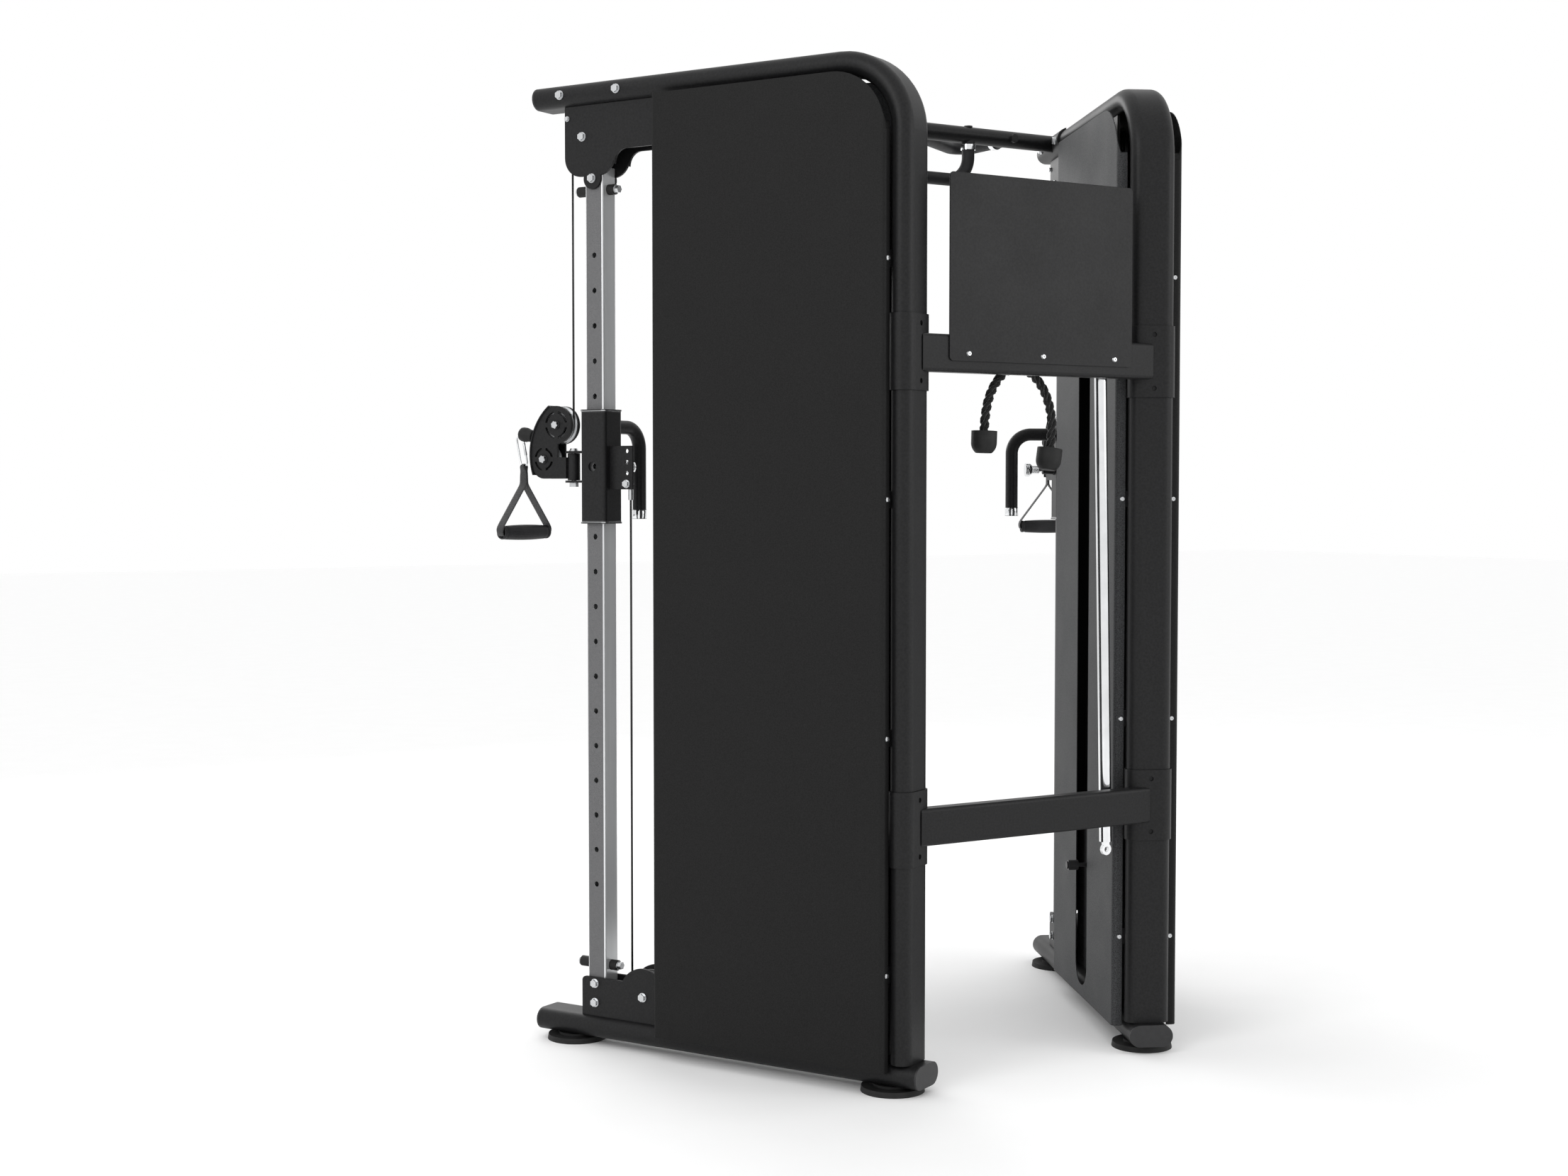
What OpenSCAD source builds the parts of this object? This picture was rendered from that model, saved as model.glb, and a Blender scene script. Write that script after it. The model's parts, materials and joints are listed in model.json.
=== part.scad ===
// Functional trainer: two splayed towers, each with an adjustable pulley carriage on a
// drilled column and a shrouded weight stack, joined by two cross members and a pull-up bar.
// Millimetres. +Z up, the user stands on the -Y side, the floor is Z = 0.
// A tower is drawn in its own frame (X outwards, -Y forwards) and placed by tower().

/* [Towers] */
// Height to the top of the frame tubes
height = 2200; // [2180:10:2240]
// Distance of each rear upright from the middle plane
tower_x = 333; // [300:1:380]
// Angle that each tower is turned outwards, in degrees
splay = 26; // [15:1:30]
// Shift that centres the footprint on the origin
origin_y = 454; // [420:1:480]
// Width of the flat-sided oval frame tube
tube_w = 100; // [90:1:110]
// Thickness of the frame tube
tube_t = 50; // [45:1:55]
// Wall of the frame tube
tube_wall = 3; // [2:0.5:4]
// Radius of the top bend, to the tube's centre line
bend_r = 150; // [130:5:180]
// Reach of the tower in front of the rear upright
reach = 960; // [940:5:1000]
// Height of the rubber feet
foot_h = 17; // [12:1:25]
// Diameter of the rubber feet
foot_d = 138; // [120:1:150]

/* [Column and carriage] */
// Distance of the column in front of the rear upright
col_u = 803; // [790:1:815]
// Side of the square column
col_w = 50; // [48:1:50]
// Pitch of the height holes
hole_pitch = 80; // [60:5:80]
// Height of the lowest hole
hole_z0 = 371.5; // [360:0.5:380]
// Number of height holes
holes = 19; // [15:1:19]
// Hole that the pop pin sits in, counted from 0 at the bottom
pin_hole = 12; // [0:1:14]
// Side of the carriage sleeve
car_w = 70; // [70:1:74]
// Length of the carriage sleeve
car_h = 252; // [240:1:252]
// Distance of the swivel axis in front of the rear upright
axis_u = 882; // [878:1:886]

/* [Weight stack] */
// Number of plates below the head plate
plates = 15; // [12:1:15]
// Plates below the selector pin, left at rest
plates_down = 10; // [6:1:10]
// Pitch of the plates
plate_pitch = 25; // [22:0.5:26]
// Length of a plate, front to back
plate_l = 250; // [220:5:250]
// Width of a plate
plate_w = 110; // [100:5:116]

/* [Pulleys and cable] */
// Cable diameter
cable_d = 5; // [4:0.5:6]
// Radius of the cable round a frame pulley
pulley_r = 52; // [50:1:52]
// Width of a frame pulley
pulley_w = 24; // [20:1:26]

/* [Hidden] */
$fn = 64;
part_gap = 0.3;
tube_r = tube_t / 2;
base_z = foot_h + tube_r;              // centre line of the base rail
base_top = foot_h + tube_t;
top_z = height - tube_r;               // centre line of the top tube
bend_z = top_z - bend_r;
rear_end = 47;                         // rail behind the upright's centre line
col_y = -col_u;
axis_y = -axis_u;
pin_z = hole_z0 + pin_hole * hole_pitch;
col_top = 2010;
collar_h = 160;
collar_t = 4;
collar_zs = [566, 1566];
bolt_in_collar = 60;
brk_in = col_w / 2 + 0.2;              // inner face of the bracket plates
brk_t = 6;
brk_out = brk_in + brk_t;
shroud_v = 75;
shroud_t = 2;
shroud_bot = 52;
shroud_top = 2150;
screw_zs = [for (k = [0:3]) 258 + 500 * k];
stack_u = 315;                         // middle of the weight stack
stack_z0 = 110;
plate_t = plate_pitch - 0.4;
rod_u = 90;                            // guide rods, in front of and behind the middle
rod_d = 20;
head_h = 40;
head_z = stack_z0 + plates * plate_pitch;
sel_z = stack_z0 + plates_down * plate_pitch + plate_t / 2;
rod_top = 1955;
rim = 5;                               // pulley rim beyond the cable's centre line
low_pulley = [-668, 126];              // each pulley's axle, as [y, z] in the tower
front_pulley = [axis_y + pulley_r, 2079.5];
rear_pulley = [-stack_u, front_pulley[1]];
stack_pulley = [-stack_u, head_z + head_h + 68];
anchor_y = low_pulley[0] - pulley_r;   // the cable rises to the carriage here
return_pulley = [-stack_u - 2 * pulley_r, 2022];
arm_up_r = 38.5;
arm_up = [axis_y - arm_up_r, pin_z + 97];
arm_low_r = 30;
arm_low = [axis_y - 75, pin_z + 18];
arm_half = 17;                         // half the width over the arm's cheek plates
arc_c = [axis_y + 26, pin_z + 29.4];   // centre of the arm's curved front strip
arc_r = 141;
exit_a = 10;                           // rise of the cable where it leaves the arm
exit_p = [arm_up[0] - arm_up_r * sin(exit_a), arm_up[1] - arm_up_r * cos(exit_a)];
ball_s = 74;                           // start of the ball stop, along the cable from exit_p
ball_l = 38;
ball_d = 34;
hook_d = 5;                            // snap hook: wire, end radius, straight length, lean
hook_r = 9.5;
hook_l = 54;
hook_lean = 12;
hook_z = pin_z + 12;
hang_y = axis_y - 147.5;               // the handle hangs from here
loop_r = 5.2;                          // webbing loop round the hook's wire
loop_z = hook_z - hook_r - 1.4;
grip_z = pin_z - 152.5;
grip_l = 148;
twist_right = -7;                     // how far the right handle has turned on its hook
bar_y = -725;                          // pull-up bar, from the uprights' plane
bar_d = 42;
grip_d = 32;
saddle_t = 6;                          // plates that hug the top tubes
low_bar_x = 360;
low_bar_z = 2060;
low_bar_r = 60;
vee_x = 489;
vee_y = -942;
vee_in = 142;
vee_r = 40;
board_w = 500;
board_z = [1550, 1945];
board_y = 27;
board_t = 3;
beam_y = [-13, 27];
beam_h = 80;
beam_x = 317;
peg_z = 1618;
peg_d = 10;
rope_d = 21;
rope_y = -36;
eye_in = 22;                           // width inside the long eye that hangs on its peg
eye_z = peg_z + (peg_d - eye_in) / 2 + part_gap;
// half-ropes, as [x, z] by hand from the eye down to the cup
rope_top = 1541;
rope_a = [[25, rope_top], [46, 1537], [67, 1522], [86, 1498], [99, 1469], [107, 1431],
    [109, 1394]];
rope_b = [[15, rope_top], [-6, 1538], [-26, 1528], [-45, 1510], [-61, 1486], [-73, 1454],
    [-78, 1424], [-76, 1390], [-71, 1358]];
peg_x = 20;
bar_peg_x = -213;
sbar_d = 28;
sbar_top = 1662;
sbar_l = 1180;
sbar_tilt = 1.3;
sbar_eye = 13;
sbar_eye_z = sbar_top + 18;
bar_peg_z = sbar_eye_z + (sbar_eye - peg_d) / 2 - part_gap;

// ---------- placing and shared shapes ----------

// the right tower's frame for s = 1, its mirror image for s = -1
module tower(s) mirror([s < 0 ? 1 : 0, 0, 0]) translate([tower_x, origin_y, 0])
    rotate([0, 0, splay]) children();

module towers() {
    tower(1) children();
    tower(-1) children();
}

// a profile drawn in [y, z], given its thickness from x0 to x1
module side(x0, x1) translate([x0, 0, 0]) rotate([90, 0, 90])
    linear_extrude(x1 - x0) children();

// a round bar along X
module pin_x(p, x0, x1, d) translate([x0, p[0], p[1]]) rotate([0, 90, 0])
    cylinder(d = d, h = x1 - x0);

module stadium(w, t) {
    square([w - t, t], center = true);
    for (s = [-1, 1]) translate([s * (w - t) / 2, 0]) circle(d = t);
}

module tube_ring(w = tube_w, t = tube_t, wall = tube_wall) difference() {
    stadium(w, t);
    stadium(w - 2 * wall, t - 2 * wall);
}

module rrect(w, h, r) {
    square([w - 2 * r, h], center = true);
    square([w, h - 2 * r], center = true);
    for (i = [-1, 1], j = [-1, 1]) translate([i * (w / 2 - r), j * (h / 2 - r)]) circle(r);
}

module disc2(p, r) translate(p) circle(r);

module box2(y, z) translate([y[0], z[0]]) square([y[1] - y[0], z[1] - z[0]]);

// hexagon head with a washer, on the +X side of x
module hex_x(p, x, d, s = 1) translate([x, p[0], p[1]]) rotate([0, s * 90, 0]) {
    cylinder(d = 2.1 * d, h = 2);
    translate([0, 0, 2]) cylinder(d = 1.8 * d, h = 0.65 * d, $fn = 6);
}

// through bolt along X: shank, head on the outside, nut on the inside
module bolt_x(p, half, d) {
    pin_x(p, -half, half, d);
    hex_x(p, half, d);
    hex_x(p, -half, d, -1);
}

// grooved wheel on an axle along X, with its groove's floor just under the cable
module wheel(p, r, w, bore) translate([0, p[0], p[1]]) rotate([0, 90, 0]) difference() {
    cylinder(r = r + rim, h = w, center = true);
    rotate_extrude() translate([r, 0]) circle(d = cable_d + 2 * part_gap);
    rotate_extrude() polygon([[r, -2.8], [r + rim + 1, -6], [r + rim + 1, 6], [r, 2.8]]);
    cylinder(d = bore, h = w + 2, center = true);
    for (s = [-1, 1]) translate([0, 0, s * w / 2]) difference() {
        cylinder(r = r - 7, h = 8, center = true);
        cylinder(r = 13, h = 9, center = true);
    }
}

// ---------- frame ----------

module upright_shape() {
    translate([0, 0, base_top]) linear_extrude(bend_z - base_top) tube_ring();
    translate([0, -bend_r, bend_z]) rotate([90, 0, 90]) rotate_extrude(angle = 90)
        translate([bend_r, 0]) rotate(90) tube_ring();
    translate([0, -bend_r, top_z]) rotate([90, 0, 0])
        linear_extrude(reach - 4 - bend_r) tube_ring();
}

// welded tabs that carry the shroud flanges
module shroud_tab(s, z) difference() {
    translate([s > 0 ? 30 : -67, -25, z - 18]) cube([37, 4.8, 36]);
    translate([s * 59, -30, z]) rotate([-90, 0, 0]) cylinder(d = 6.4, h = 12, $fn = 24);
}

module frame_tubes() color("#333436") towers() difference() {
    union() {
        upright_shape();
        for (z = screw_zs, s = [-1, 1]) difference() {
            shroud_tab(s, z);
            translate([0, 0, z - 20]) linear_extrude(40) stadium(tube_w - 2, tube_t - 2);
        }
    }
    for (u = [721, 879]) pin_x([-u, top_z], -60, 60, 10.5);
}

module base_rails() color("#333436") towers()
    translate([0, rear_end - 4, base_z]) rotate([90, 0, 0])
        linear_extrude(reach + rear_end - 8) tube_ring();

module end_cap(y, z) translate([0, y, z]) rotate([90, 0, 0])
    linear_extrude(4) stadium(tube_w, tube_t);

module tube_end_caps() color("#55565a") towers() {
    end_cap(rear_end, base_z);
    end_cap(-reach + 4, base_z);
    end_cap(-reach + 4, top_z);
}

module rubber_feet() color("#1c1c1d") towers() for (u = [36, 879])
    translate([0, -u, 0]) {
        cylinder(d1 = foot_d, d2 = foot_d - 4, h = 12);
        translate([0, 0, 12]) cylinder(d = 84, h = foot_h - 12);
    }

module collar_outline() stadium(tube_w + 2 * collar_t, tube_t + 2 * collar_t);

module upright_collars() color("#343538") towers() for (z = collar_zs) difference() {
    translate([0, 0, z - collar_h / 2]) linear_extrude(collar_h) difference() {
        collar_outline();
        stadium(tube_w + 0.2, tube_t + 0.2);
    }
    for (s = [-1, 1]) translate([0, 0, z + s * bolt_in_collar]) rotate([-90, 0, 0])
        cylinder(d = 11, h = 60);
}

module cross_members() color("#3a3b3e") for (z = collar_zs) difference() {
    translate([-beam_x, origin_y + (beam_y[0] + beam_y[1]) / 2, z]) rotate([90, 0, 90])
        linear_extrude(2 * beam_x) difference() {
            rrect(beam_y[1] - beam_y[0], beam_h, 8);
            rrect(beam_y[1] - beam_y[0] - 6, beam_h - 6, 5);
        }
    towers() translate([0, 0, z - collar_h / 2]) linear_extrude(collar_h)
        stadium(tube_w + 2 * collar_t + 0.2, tube_t + 2 * collar_t + 0.2);
}

// J-shaped peg that reaches forwards from the board
module peg(x, z) translate([x, origin_y + board_y, z]) rotate([90, 0, 0]) {
    cylinder(d = peg_d, h = 84);
    translate([0, 0, 78]) rotate([-90, 0, 0]) cylinder(d = peg_d, h = 18);
}

module accessory_board() color("#303133") {
    difference() {
        translate([0, origin_y + board_y + board_t, (board_z[0] + board_z[1]) / 2])
            rotate([90, 0, 0]) linear_extrude(board_t)
                rrect(board_w, board_z[1] - board_z[0], 9);
        for (x = [-200, 0, 200]) translate([x, origin_y + board_y - 1, collar_zs[1]])
            rotate([-90, 0, 0]) cylinder(d = 6.4, h = board_t + 2);
    }
    peg(peg_x, peg_z);
    peg(bar_peg_x, bar_peg_z);
}

module button_screw() {
    cylinder(d = 6, h = 12, $fn = 24);
    translate([0, 0, 12]) difference() {
        cylinder(d1 = 12, d2 = 9, h = 3.2, $fn = 32);
        translate([0, 0, 1.2]) cylinder(d = 4, h = 3, $fn = 6);
    }
}

module button_screws() color("#b9bbbe") {
    for (x = [-200, 0, 200])
        translate([x, origin_y + board_y + board_t - 12, collar_zs[1]]) rotate([-90, 0, 0])
            difference() {
                button_screw();
                translate([0, 0, -1]) cylinder(d = 8, h = 10.2);
            }
    towers() for (z = screw_zs, s = [-1, 1]) translate([s * 59, -30, z])
        rotate([-90, 0, 0]) button_screw();
}

// ---------- shrouds ----------

// outline of a shroud from the side, with the rear top corner following the bend
module shroud_outline() difference() {
    box2([-612, 0], [shroud_bot, shroud_top]);
    difference() {
        box2([-147, 1], [bend_z - 3, shroud_top + 1]);
        disc2([-147, bend_z - 3], 128);
    }
}

// section of an outer shroud: rolled front bead, sheet, rounded corner, rear flange
module shroud_section() {
    translate([shroud_v - shroud_t, -600]) square([shroud_t, 572]);
    translate([shroud_v - 10, -28]) intersection() {
        difference() {
            circle(10);
            circle(8);
        }
        square(10);
    }
    translate([52, -20]) square([13, 2]);
    translate([shroud_v - 9.5, -600]) difference() {
        circle(9.5);
        circle(7.5);
    }
}

module shroud_body() difference() {
    intersection() {
        translate([0, 0, shroud_bot]) linear_extrude(shroud_top - shroud_bot)
            shroud_section();
        side(50, 80) shroud_outline();
    }
    for (z = screw_zs) translate([59, -25, z]) rotate([-90, 0, 0])
        cylinder(d = 6.4, h = 12, $fn = 24);
}

module outer_shrouds() color("#292a2b") towers() shroud_body();

module inner_shrouds() color("#4a4b4e") towers() mirror([1, 0, 0]) difference() {
    shroud_body();
    side(60, 90) {
        box2([-stack_u - 55, -stack_u + 55], [80 + 55, 1760 - 55]);
        disc2([-stack_u, 80 + 55], 55);
        disc2([-stack_u, 1760 - 55], 55);
    }
}

// ---------- column and its brackets ----------

module guide_columns() color("#9fa1a4") towers() translate([0, col_y, 0]) difference() {
    translate([0, 0, base_top]) linear_extrude(col_top - base_top) difference() {
        rrect(col_w, col_w, 5);
        rrect(col_w - 6, col_w - 6, 3);
    }
    for (k = [0:holes - 1]) pin_x([0, hole_z0 + k * hole_pitch], -40, 40, 13);
    for (z = [98, 142.5, 1984]) pin_x([0, z], -40, 40, 10.5);
    for (z = [183, 1960]) translate([0, -40, z]) rotate([-90, 0, 0])
        cylinder(d = 10.5, h = 80);
}

// side outline of a top bracket plate: deep lobe over the column, tab round its bolt,
// arm under the top tube, and a drop inside the shroud for the return pulley and rods
module top_bracket_outline() difference() {
    union() {
        box2([-880, -190], [2045, 2150]);
        box2([-880, -740], [2035, 2060]);
        box2([-835, -785], [1990, 2060]);
        disc2([-835, 2035], 45);
        disc2([-785, 2035], 45);
        disc2([col_y, 1984], 24);
        difference() {
            box2([-742, -708], [2013, 2046]);
            disc2([-708, 2013], 32);
        }
        box2([-470, -190], [1935, 2060]);
    }
    disc2([col_y, 1984], 5.25);
    disc2(front_pulley, 5.25);
    disc2([-872, 2123], 3.2);
    disc2(rear_pulley, 5.25);
    disc2(return_pulley, 5.25);
}

module top_brackets() color("#303133") towers() {
    for (x = [-brk_out, brk_in]) side(x, x + brk_t) top_bracket_outline();
    for (s = [-1, 1]) translate([0, -stack_u + s * rod_u, rod_top]) difference() {
        translate([-brk_in, -18, -15]) cube([2 * brk_in, 36, 21]);
        translate([0, 0, -16]) cylinder(d = rod_d + 0.2, h = 17);
    }
}

module bottom_bracket_outline() difference() {
    union() {
        box2([-840, -715], [base_top - 1, 146]);
        box2([-830, -715], [base_top - 1, 156]);
        disc2([-830, 146], 10);
        box2([-716, -590], [base_top - 1, 126]);
        disc2(low_pulley, 65);
        box2([-720, -700], [126, 156]);
    }
    for (z = [98, 142.5]) disc2([col_y, z], 5.25);
    disc2(low_pulley, 5.25);
    translate([-700, 0]) square([200, base_top - 1]);
}

module bottom_brackets() color("#303133") towers() difference() {
    for (x = [-brk_out, brk_in]) side(x, x + brk_t) bottom_bracket_outline();
    translate([0, 0, base_z]) rotate([90, 0, 0]) linear_extrude(1000)
        stadium(tube_w + 0.1, tube_t + 0.1);
}

// rubber bumpers either side of the column on one through bolt
module column_stops() color("#202021") towers() for (z = [183, 1960])
    translate([0, col_y, z]) for (s = [-1, 1]) rotate([s * 90, 0, 0])
        translate([0, 0, col_w / 2]) difference() {
            cylinder(d = 24, h = s > 0 ? 34 : 18);
            translate([0, 0, -1]) cylinder(d = 10.5, h = 60);
        }

module frame_bolts() color("#c4c6c8") {
    towers() {
        for (u = [721, 879]) {
            pin_x([-u, top_z], -tube_w / 2 - saddle_t, tube_w / 2, 10);
            hex_x([-u, top_z], tube_w / 2, 10);
            hex_x([-u, top_z], -tube_w / 2 - saddle_t, 10, -1);
        }
        for (p = [[col_y, 98], [col_y, 142.5], [col_y, 1984], low_pulley, front_pulley,
                rear_pulley, return_pulley]) bolt_x(p, brk_out, 10);
        bolt_x([-872, 2123], brk_out, 6);
        for (z = [183, 1960]) translate([0, col_y, z]) {
            rotate([90, 0, 0]) translate([0, 0, -col_w / 2 - 18])
                cylinder(d = 10, h = col_w + 52);
            rotate([90, 0, 0]) translate([0, 0, col_w / 2 + 34]) cylinder(d = 18, h = 5);
            rotate([-90, 0, 0]) translate([0, 0, col_w / 2 + 18]) {
                cylinder(d = 20, h = 2);
                translate([0, 0, 2]) cylinder(d = 18, h = 9, $fn = 6);
            }
        }
    }
}

// ---------- pull-up bar ----------

module saddle_outline() stadium(tube_w + 2 * saddle_t, tube_t + 2 * saddle_t);

// saddle plates hug the inner side of both top tubes, the bar runs between them
module saddle() difference() {
    translate([0, -700, top_z]) rotate([90, 0, 0]) linear_extrude(200) difference() {
        saddle_outline();
        stadium(tube_w + 0.1, tube_t + 0.1);
        translate([-brk_out - 0.3, -60]) square([120, 120]);
    }
    for (u = [721, 879]) pin_x([-u, top_z], -80, 0, 10.5);
}

module bar_solid(d, x = 640) translate([-x, origin_y + bar_y, top_z]) rotate([0, 90, 0])
    cylinder(d = d, h = 2 * x);

module pull_up_bar() color("#2b2c2e") {
    towers() saddle();
    difference() {
        bar_solid(bar_d);
        translate([-700, 0, 0]) bar_bore();
        towers() translate([0, -600, top_z]) rotate([90, 0, 0]) linear_extrude(400)
            saddle_outline();
    }
    for (s = [-1, 1]) {
        translate([s * low_bar_x, origin_y + bar_y, top_z + bar_d / 2 - 1.5])
            cylinder(d = 22, h = 4);
        translate([s * vee_x, origin_y + bar_y + bar_d / 2 - 1.5, top_z])
            rotate([-90, 0, 0]) cylinder(d = 22, h = 8);
    }
}

module bar_bore() translate([0, origin_y + bar_y, top_z]) rotate([0, 90, 0])
    cylinder(d = bar_d - 5, h = 1400);

// lower bar: straight, with each end bent up to the pull-up bar
module low_bar() translate([0, origin_y + bar_y, 0]) {
    x = low_bar_x - low_bar_r;
    translate([-x, 0, low_bar_z]) rotate([0, 90, 0]) cylinder(d = grip_d, h = 2 * x);
    for (s = [0, 1]) mirror([s, 0, 0]) {
        translate([x, 0, low_bar_z + low_bar_r]) rotate([90, 0, 0]) rotate([0, 0, -90])
            rotate_extrude(angle = 90) translate([low_bar_r, 0]) circle(d = grip_d);
        translate([low_bar_x, 0, low_bar_z + low_bar_r])
            cylinder(d = grip_d, h = top_z - low_bar_z - low_bar_r);
    }
}

// forward grip: straight out from the bar, round a tight corner and back inwards
vee_a = atan2(-725 - vee_y, vee_x - vee_in);   // rise of the returning leg
vee_half = (90 - vee_a) / 2;
vee_t = vee_r / tan(vee_half);
module vee_grip() translate([0, origin_y, top_z]) {
    translate([vee_x, bar_y, 0]) rotate([90, 0, 0])
        cylinder(d = grip_d, h = bar_y - vee_y - vee_t);
    translate([vee_x - vee_r, vee_y + vee_t, 0]) rotate([0, 0, -180 + 2 * vee_half])
        rotate_extrude(angle = 180 - 2 * vee_half) translate([vee_r, 0]) circle(d = grip_d);
    translate([vee_x - vee_t * cos(vee_a), vee_y + vee_t * sin(vee_a), 0])
        rotate([0, 0, 180 - vee_a]) rotate([0, 90, 0])
            cylinder(d = grip_d, h = norm([vee_x - vee_in, bar_y - vee_y]) - vee_t);
}

module pull_up_grips() color("#1e1f20") difference() {
    union() {
        low_bar();
        vee_grip();
        mirror([1, 0, 0]) vee_grip();
    }
    bar_solid(bar_d + 0.1);
}

module grip_collars() color("#d9dbdd") for (s = [0, 1]) mirror([s, 0, 0]) {
    translate([low_bar_x, origin_y + bar_y, 2138]) difference() {
        cylinder(d = 38, h = 13);
        translate([0, 0, -1]) cylinder(d = grip_d + 0.1, h = 15);
    }
    translate([vee_x, origin_y + bar_y - 50, top_z]) rotate([90, 0, 0]) difference() {
        cylinder(d = 37, h = 16);
        translate([0, 0, -1]) cylinder(d = grip_d + 0.1, h = 18);
    }
}

// ---------- weight stack ----------

module plate_blank(h) linear_extrude(h) rrect(plate_w, plate_l, 8);

module rod_holes(h, d) for (s = [-1, 1]) translate([0, s * rod_u, -1])
    cylinder(d = d, h = h + 2, $fn = 32);

module plate() difference() {
    plate_blank(plate_t);
    rod_holes(plate_t, rod_d + 1);
    translate([0, 0, -1]) cylinder(d = 28, h = plate_t + 2, $fn = 32);
    translate([-70, 0, plate_t / 2]) rotate([0, 90, 0]) cylinder(d = 12, h = 70, $fn = 24);
}

module plate_at(k) translate([0, -stack_u, stack_z0 + k * plate_pitch]) plate();

module weight_plates() color("#2a2a2b") towers() for (k = [0:plates_down - 1]) plate_at(k);

module guide_rods() color("#d4d6d8") towers() for (s = [-1, 1])
    translate([0, -stack_u + s * rod_u, base_top]) cylinder(d = rod_d, h = rod_top - base_top);

module stack_cushions() color("#1b1b1c") towers() for (s = [-1, 1])
    translate([0, -stack_u + s * rod_u, base_top]) difference() {
        cylinder(d = 56, h = stack_z0 - base_top);
        translate([0, 0, -1]) cylinder(d = rod_d + 0.6, h = 60);
    }

// selector stem, head plate with the pulley fork, and the plates above the pin
module lifted_stack(s) color("#2f3032") tower(s) {
    for (k = [plates_down:plates - 1]) plate_at(k);
    translate([0, -stack_u, 0]) {
        difference() {
            union() {
                translate([0, 0, stack_z0 + 4]) cylinder(d = 26, h = head_z - stack_z0);
                translate([0, 0, head_z]) plate_blank(head_h);
            }
            for (k = [0:plates - 1])
                pin_x([0, stack_z0 + k * plate_pitch + plate_t / 2], -20, 20, 11);
            translate([0, 0, head_z]) rod_holes(head_h, rod_d + 1);
        }
        for (x = [-21, 15]) side(x, x + 6) difference() {
            union() {
                box2([-26, 26], [head_z + head_h, stack_pulley[1]]);
                disc2([0, stack_pulley[1]], 26);
            }
            disc2([0, stack_pulley[1]], 5.2);
        }
        bolt_x([0, stack_pulley[1]], 21, 10);
    }
}

module lifted_stack_right() lifted_stack(1);
module lifted_stack_left() lifted_stack(-1);

module selector_pin(s) color("#1c1c1d") tower(s) {
    pin_x([-stack_u, sel_z], -84, 8, 10);
    pin_x([-stack_u, sel_z], -108, -84, 24);
    pin_x([-stack_u, sel_z], -112, -108, 18);
}

module selector_pin_right() selector_pin(1);
module selector_pin_left() selector_pin(-1);

// ---------- pulleys ----------

module frame_wheel(p) wheel(p, pulley_r, pulley_w, 10.1);

module front_pulley_right() color("#26272a") tower(1) frame_wheel(front_pulley);
module front_pulley_left() color("#26272a") tower(-1) frame_wheel(front_pulley);
module rear_pulley_right() color("#26272a") tower(1) frame_wheel(rear_pulley);
module rear_pulley_left() color("#26272a") tower(-1) frame_wheel(rear_pulley);
module stack_pulley_right() color("#26272a") tower(1) frame_wheel(stack_pulley);
module stack_pulley_left() color("#26272a") tower(-1) frame_wheel(stack_pulley);
module return_pulley_right() color("#26272a") tower(1) frame_wheel(return_pulley);
module return_pulley_left() color("#26272a") tower(-1) frame_wheel(return_pulley);
module low_pulley_right() color("#26272a") tower(1) frame_wheel(low_pulley);
module low_pulley_left() color("#26272a") tower(-1) frame_wheel(low_pulley);

module arm_upper(s) color("#3a3b3e") tower(s) wheel(arm_up, arm_up_r, 23, 10.1);
module arm_lower(s) color("#3a3b3e") tower(s) wheel(arm_low, arm_low_r, 23, 10.1);
module arm_pulley_upper_right() arm_upper(1);
module arm_pulley_upper_left() arm_upper(-1);
module arm_pulley_lower_right() arm_lower(1);
module arm_pulley_lower_left() arm_lower(-1);

// ---------- carriage ----------

module carriage(s) color("#2d2e30") tower(s) {
    difference() {
        union() {
            translate([0, col_y, pin_z - car_h / 2]) linear_extrude(car_h)
                rrect(car_w, car_w, 10);
            // hinge lugs for the swivelling arm
            for (z = [pin_z - 36.5, pin_z + 31.5]) translate([0, 0, z]) linear_extrude(5) {
                translate([-20, axis_y]) square([40, -axis_y + col_y - car_w / 2 + 1]);
                translate([0, axis_y]) circle(20);
            }
            // cable anchor plate
            side(8, 13) box2([col_y + car_w / 2 - 1, anchor_y + 14], [pin_z - 52, pin_z + 47]);
            // barrel of the pop pin
            pin_x([col_y, pin_z], -66, -car_w / 2 + 1, 24);
        }
        translate([0, col_y, pin_z - car_h / 2 - 1]) linear_extrude(car_h + 2)
            rrect(60, 60, 5);
        pin_x([col_y, pin_z], -80, -20, 12.2);
        pin_x([col_y, pin_z], 20, 60, 22);
        translate([0, axis_y, pin_z - 50]) cylinder(d = 12.1, h = 100);
        for (z = [-39.5, -15, 10, 35]) pin_x([anchor_y - 2, pin_z + z], 0, 20, 10.2);
    }
}

module carriage_right() carriage(1);
module carriage_left() carriage(-1);

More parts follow.
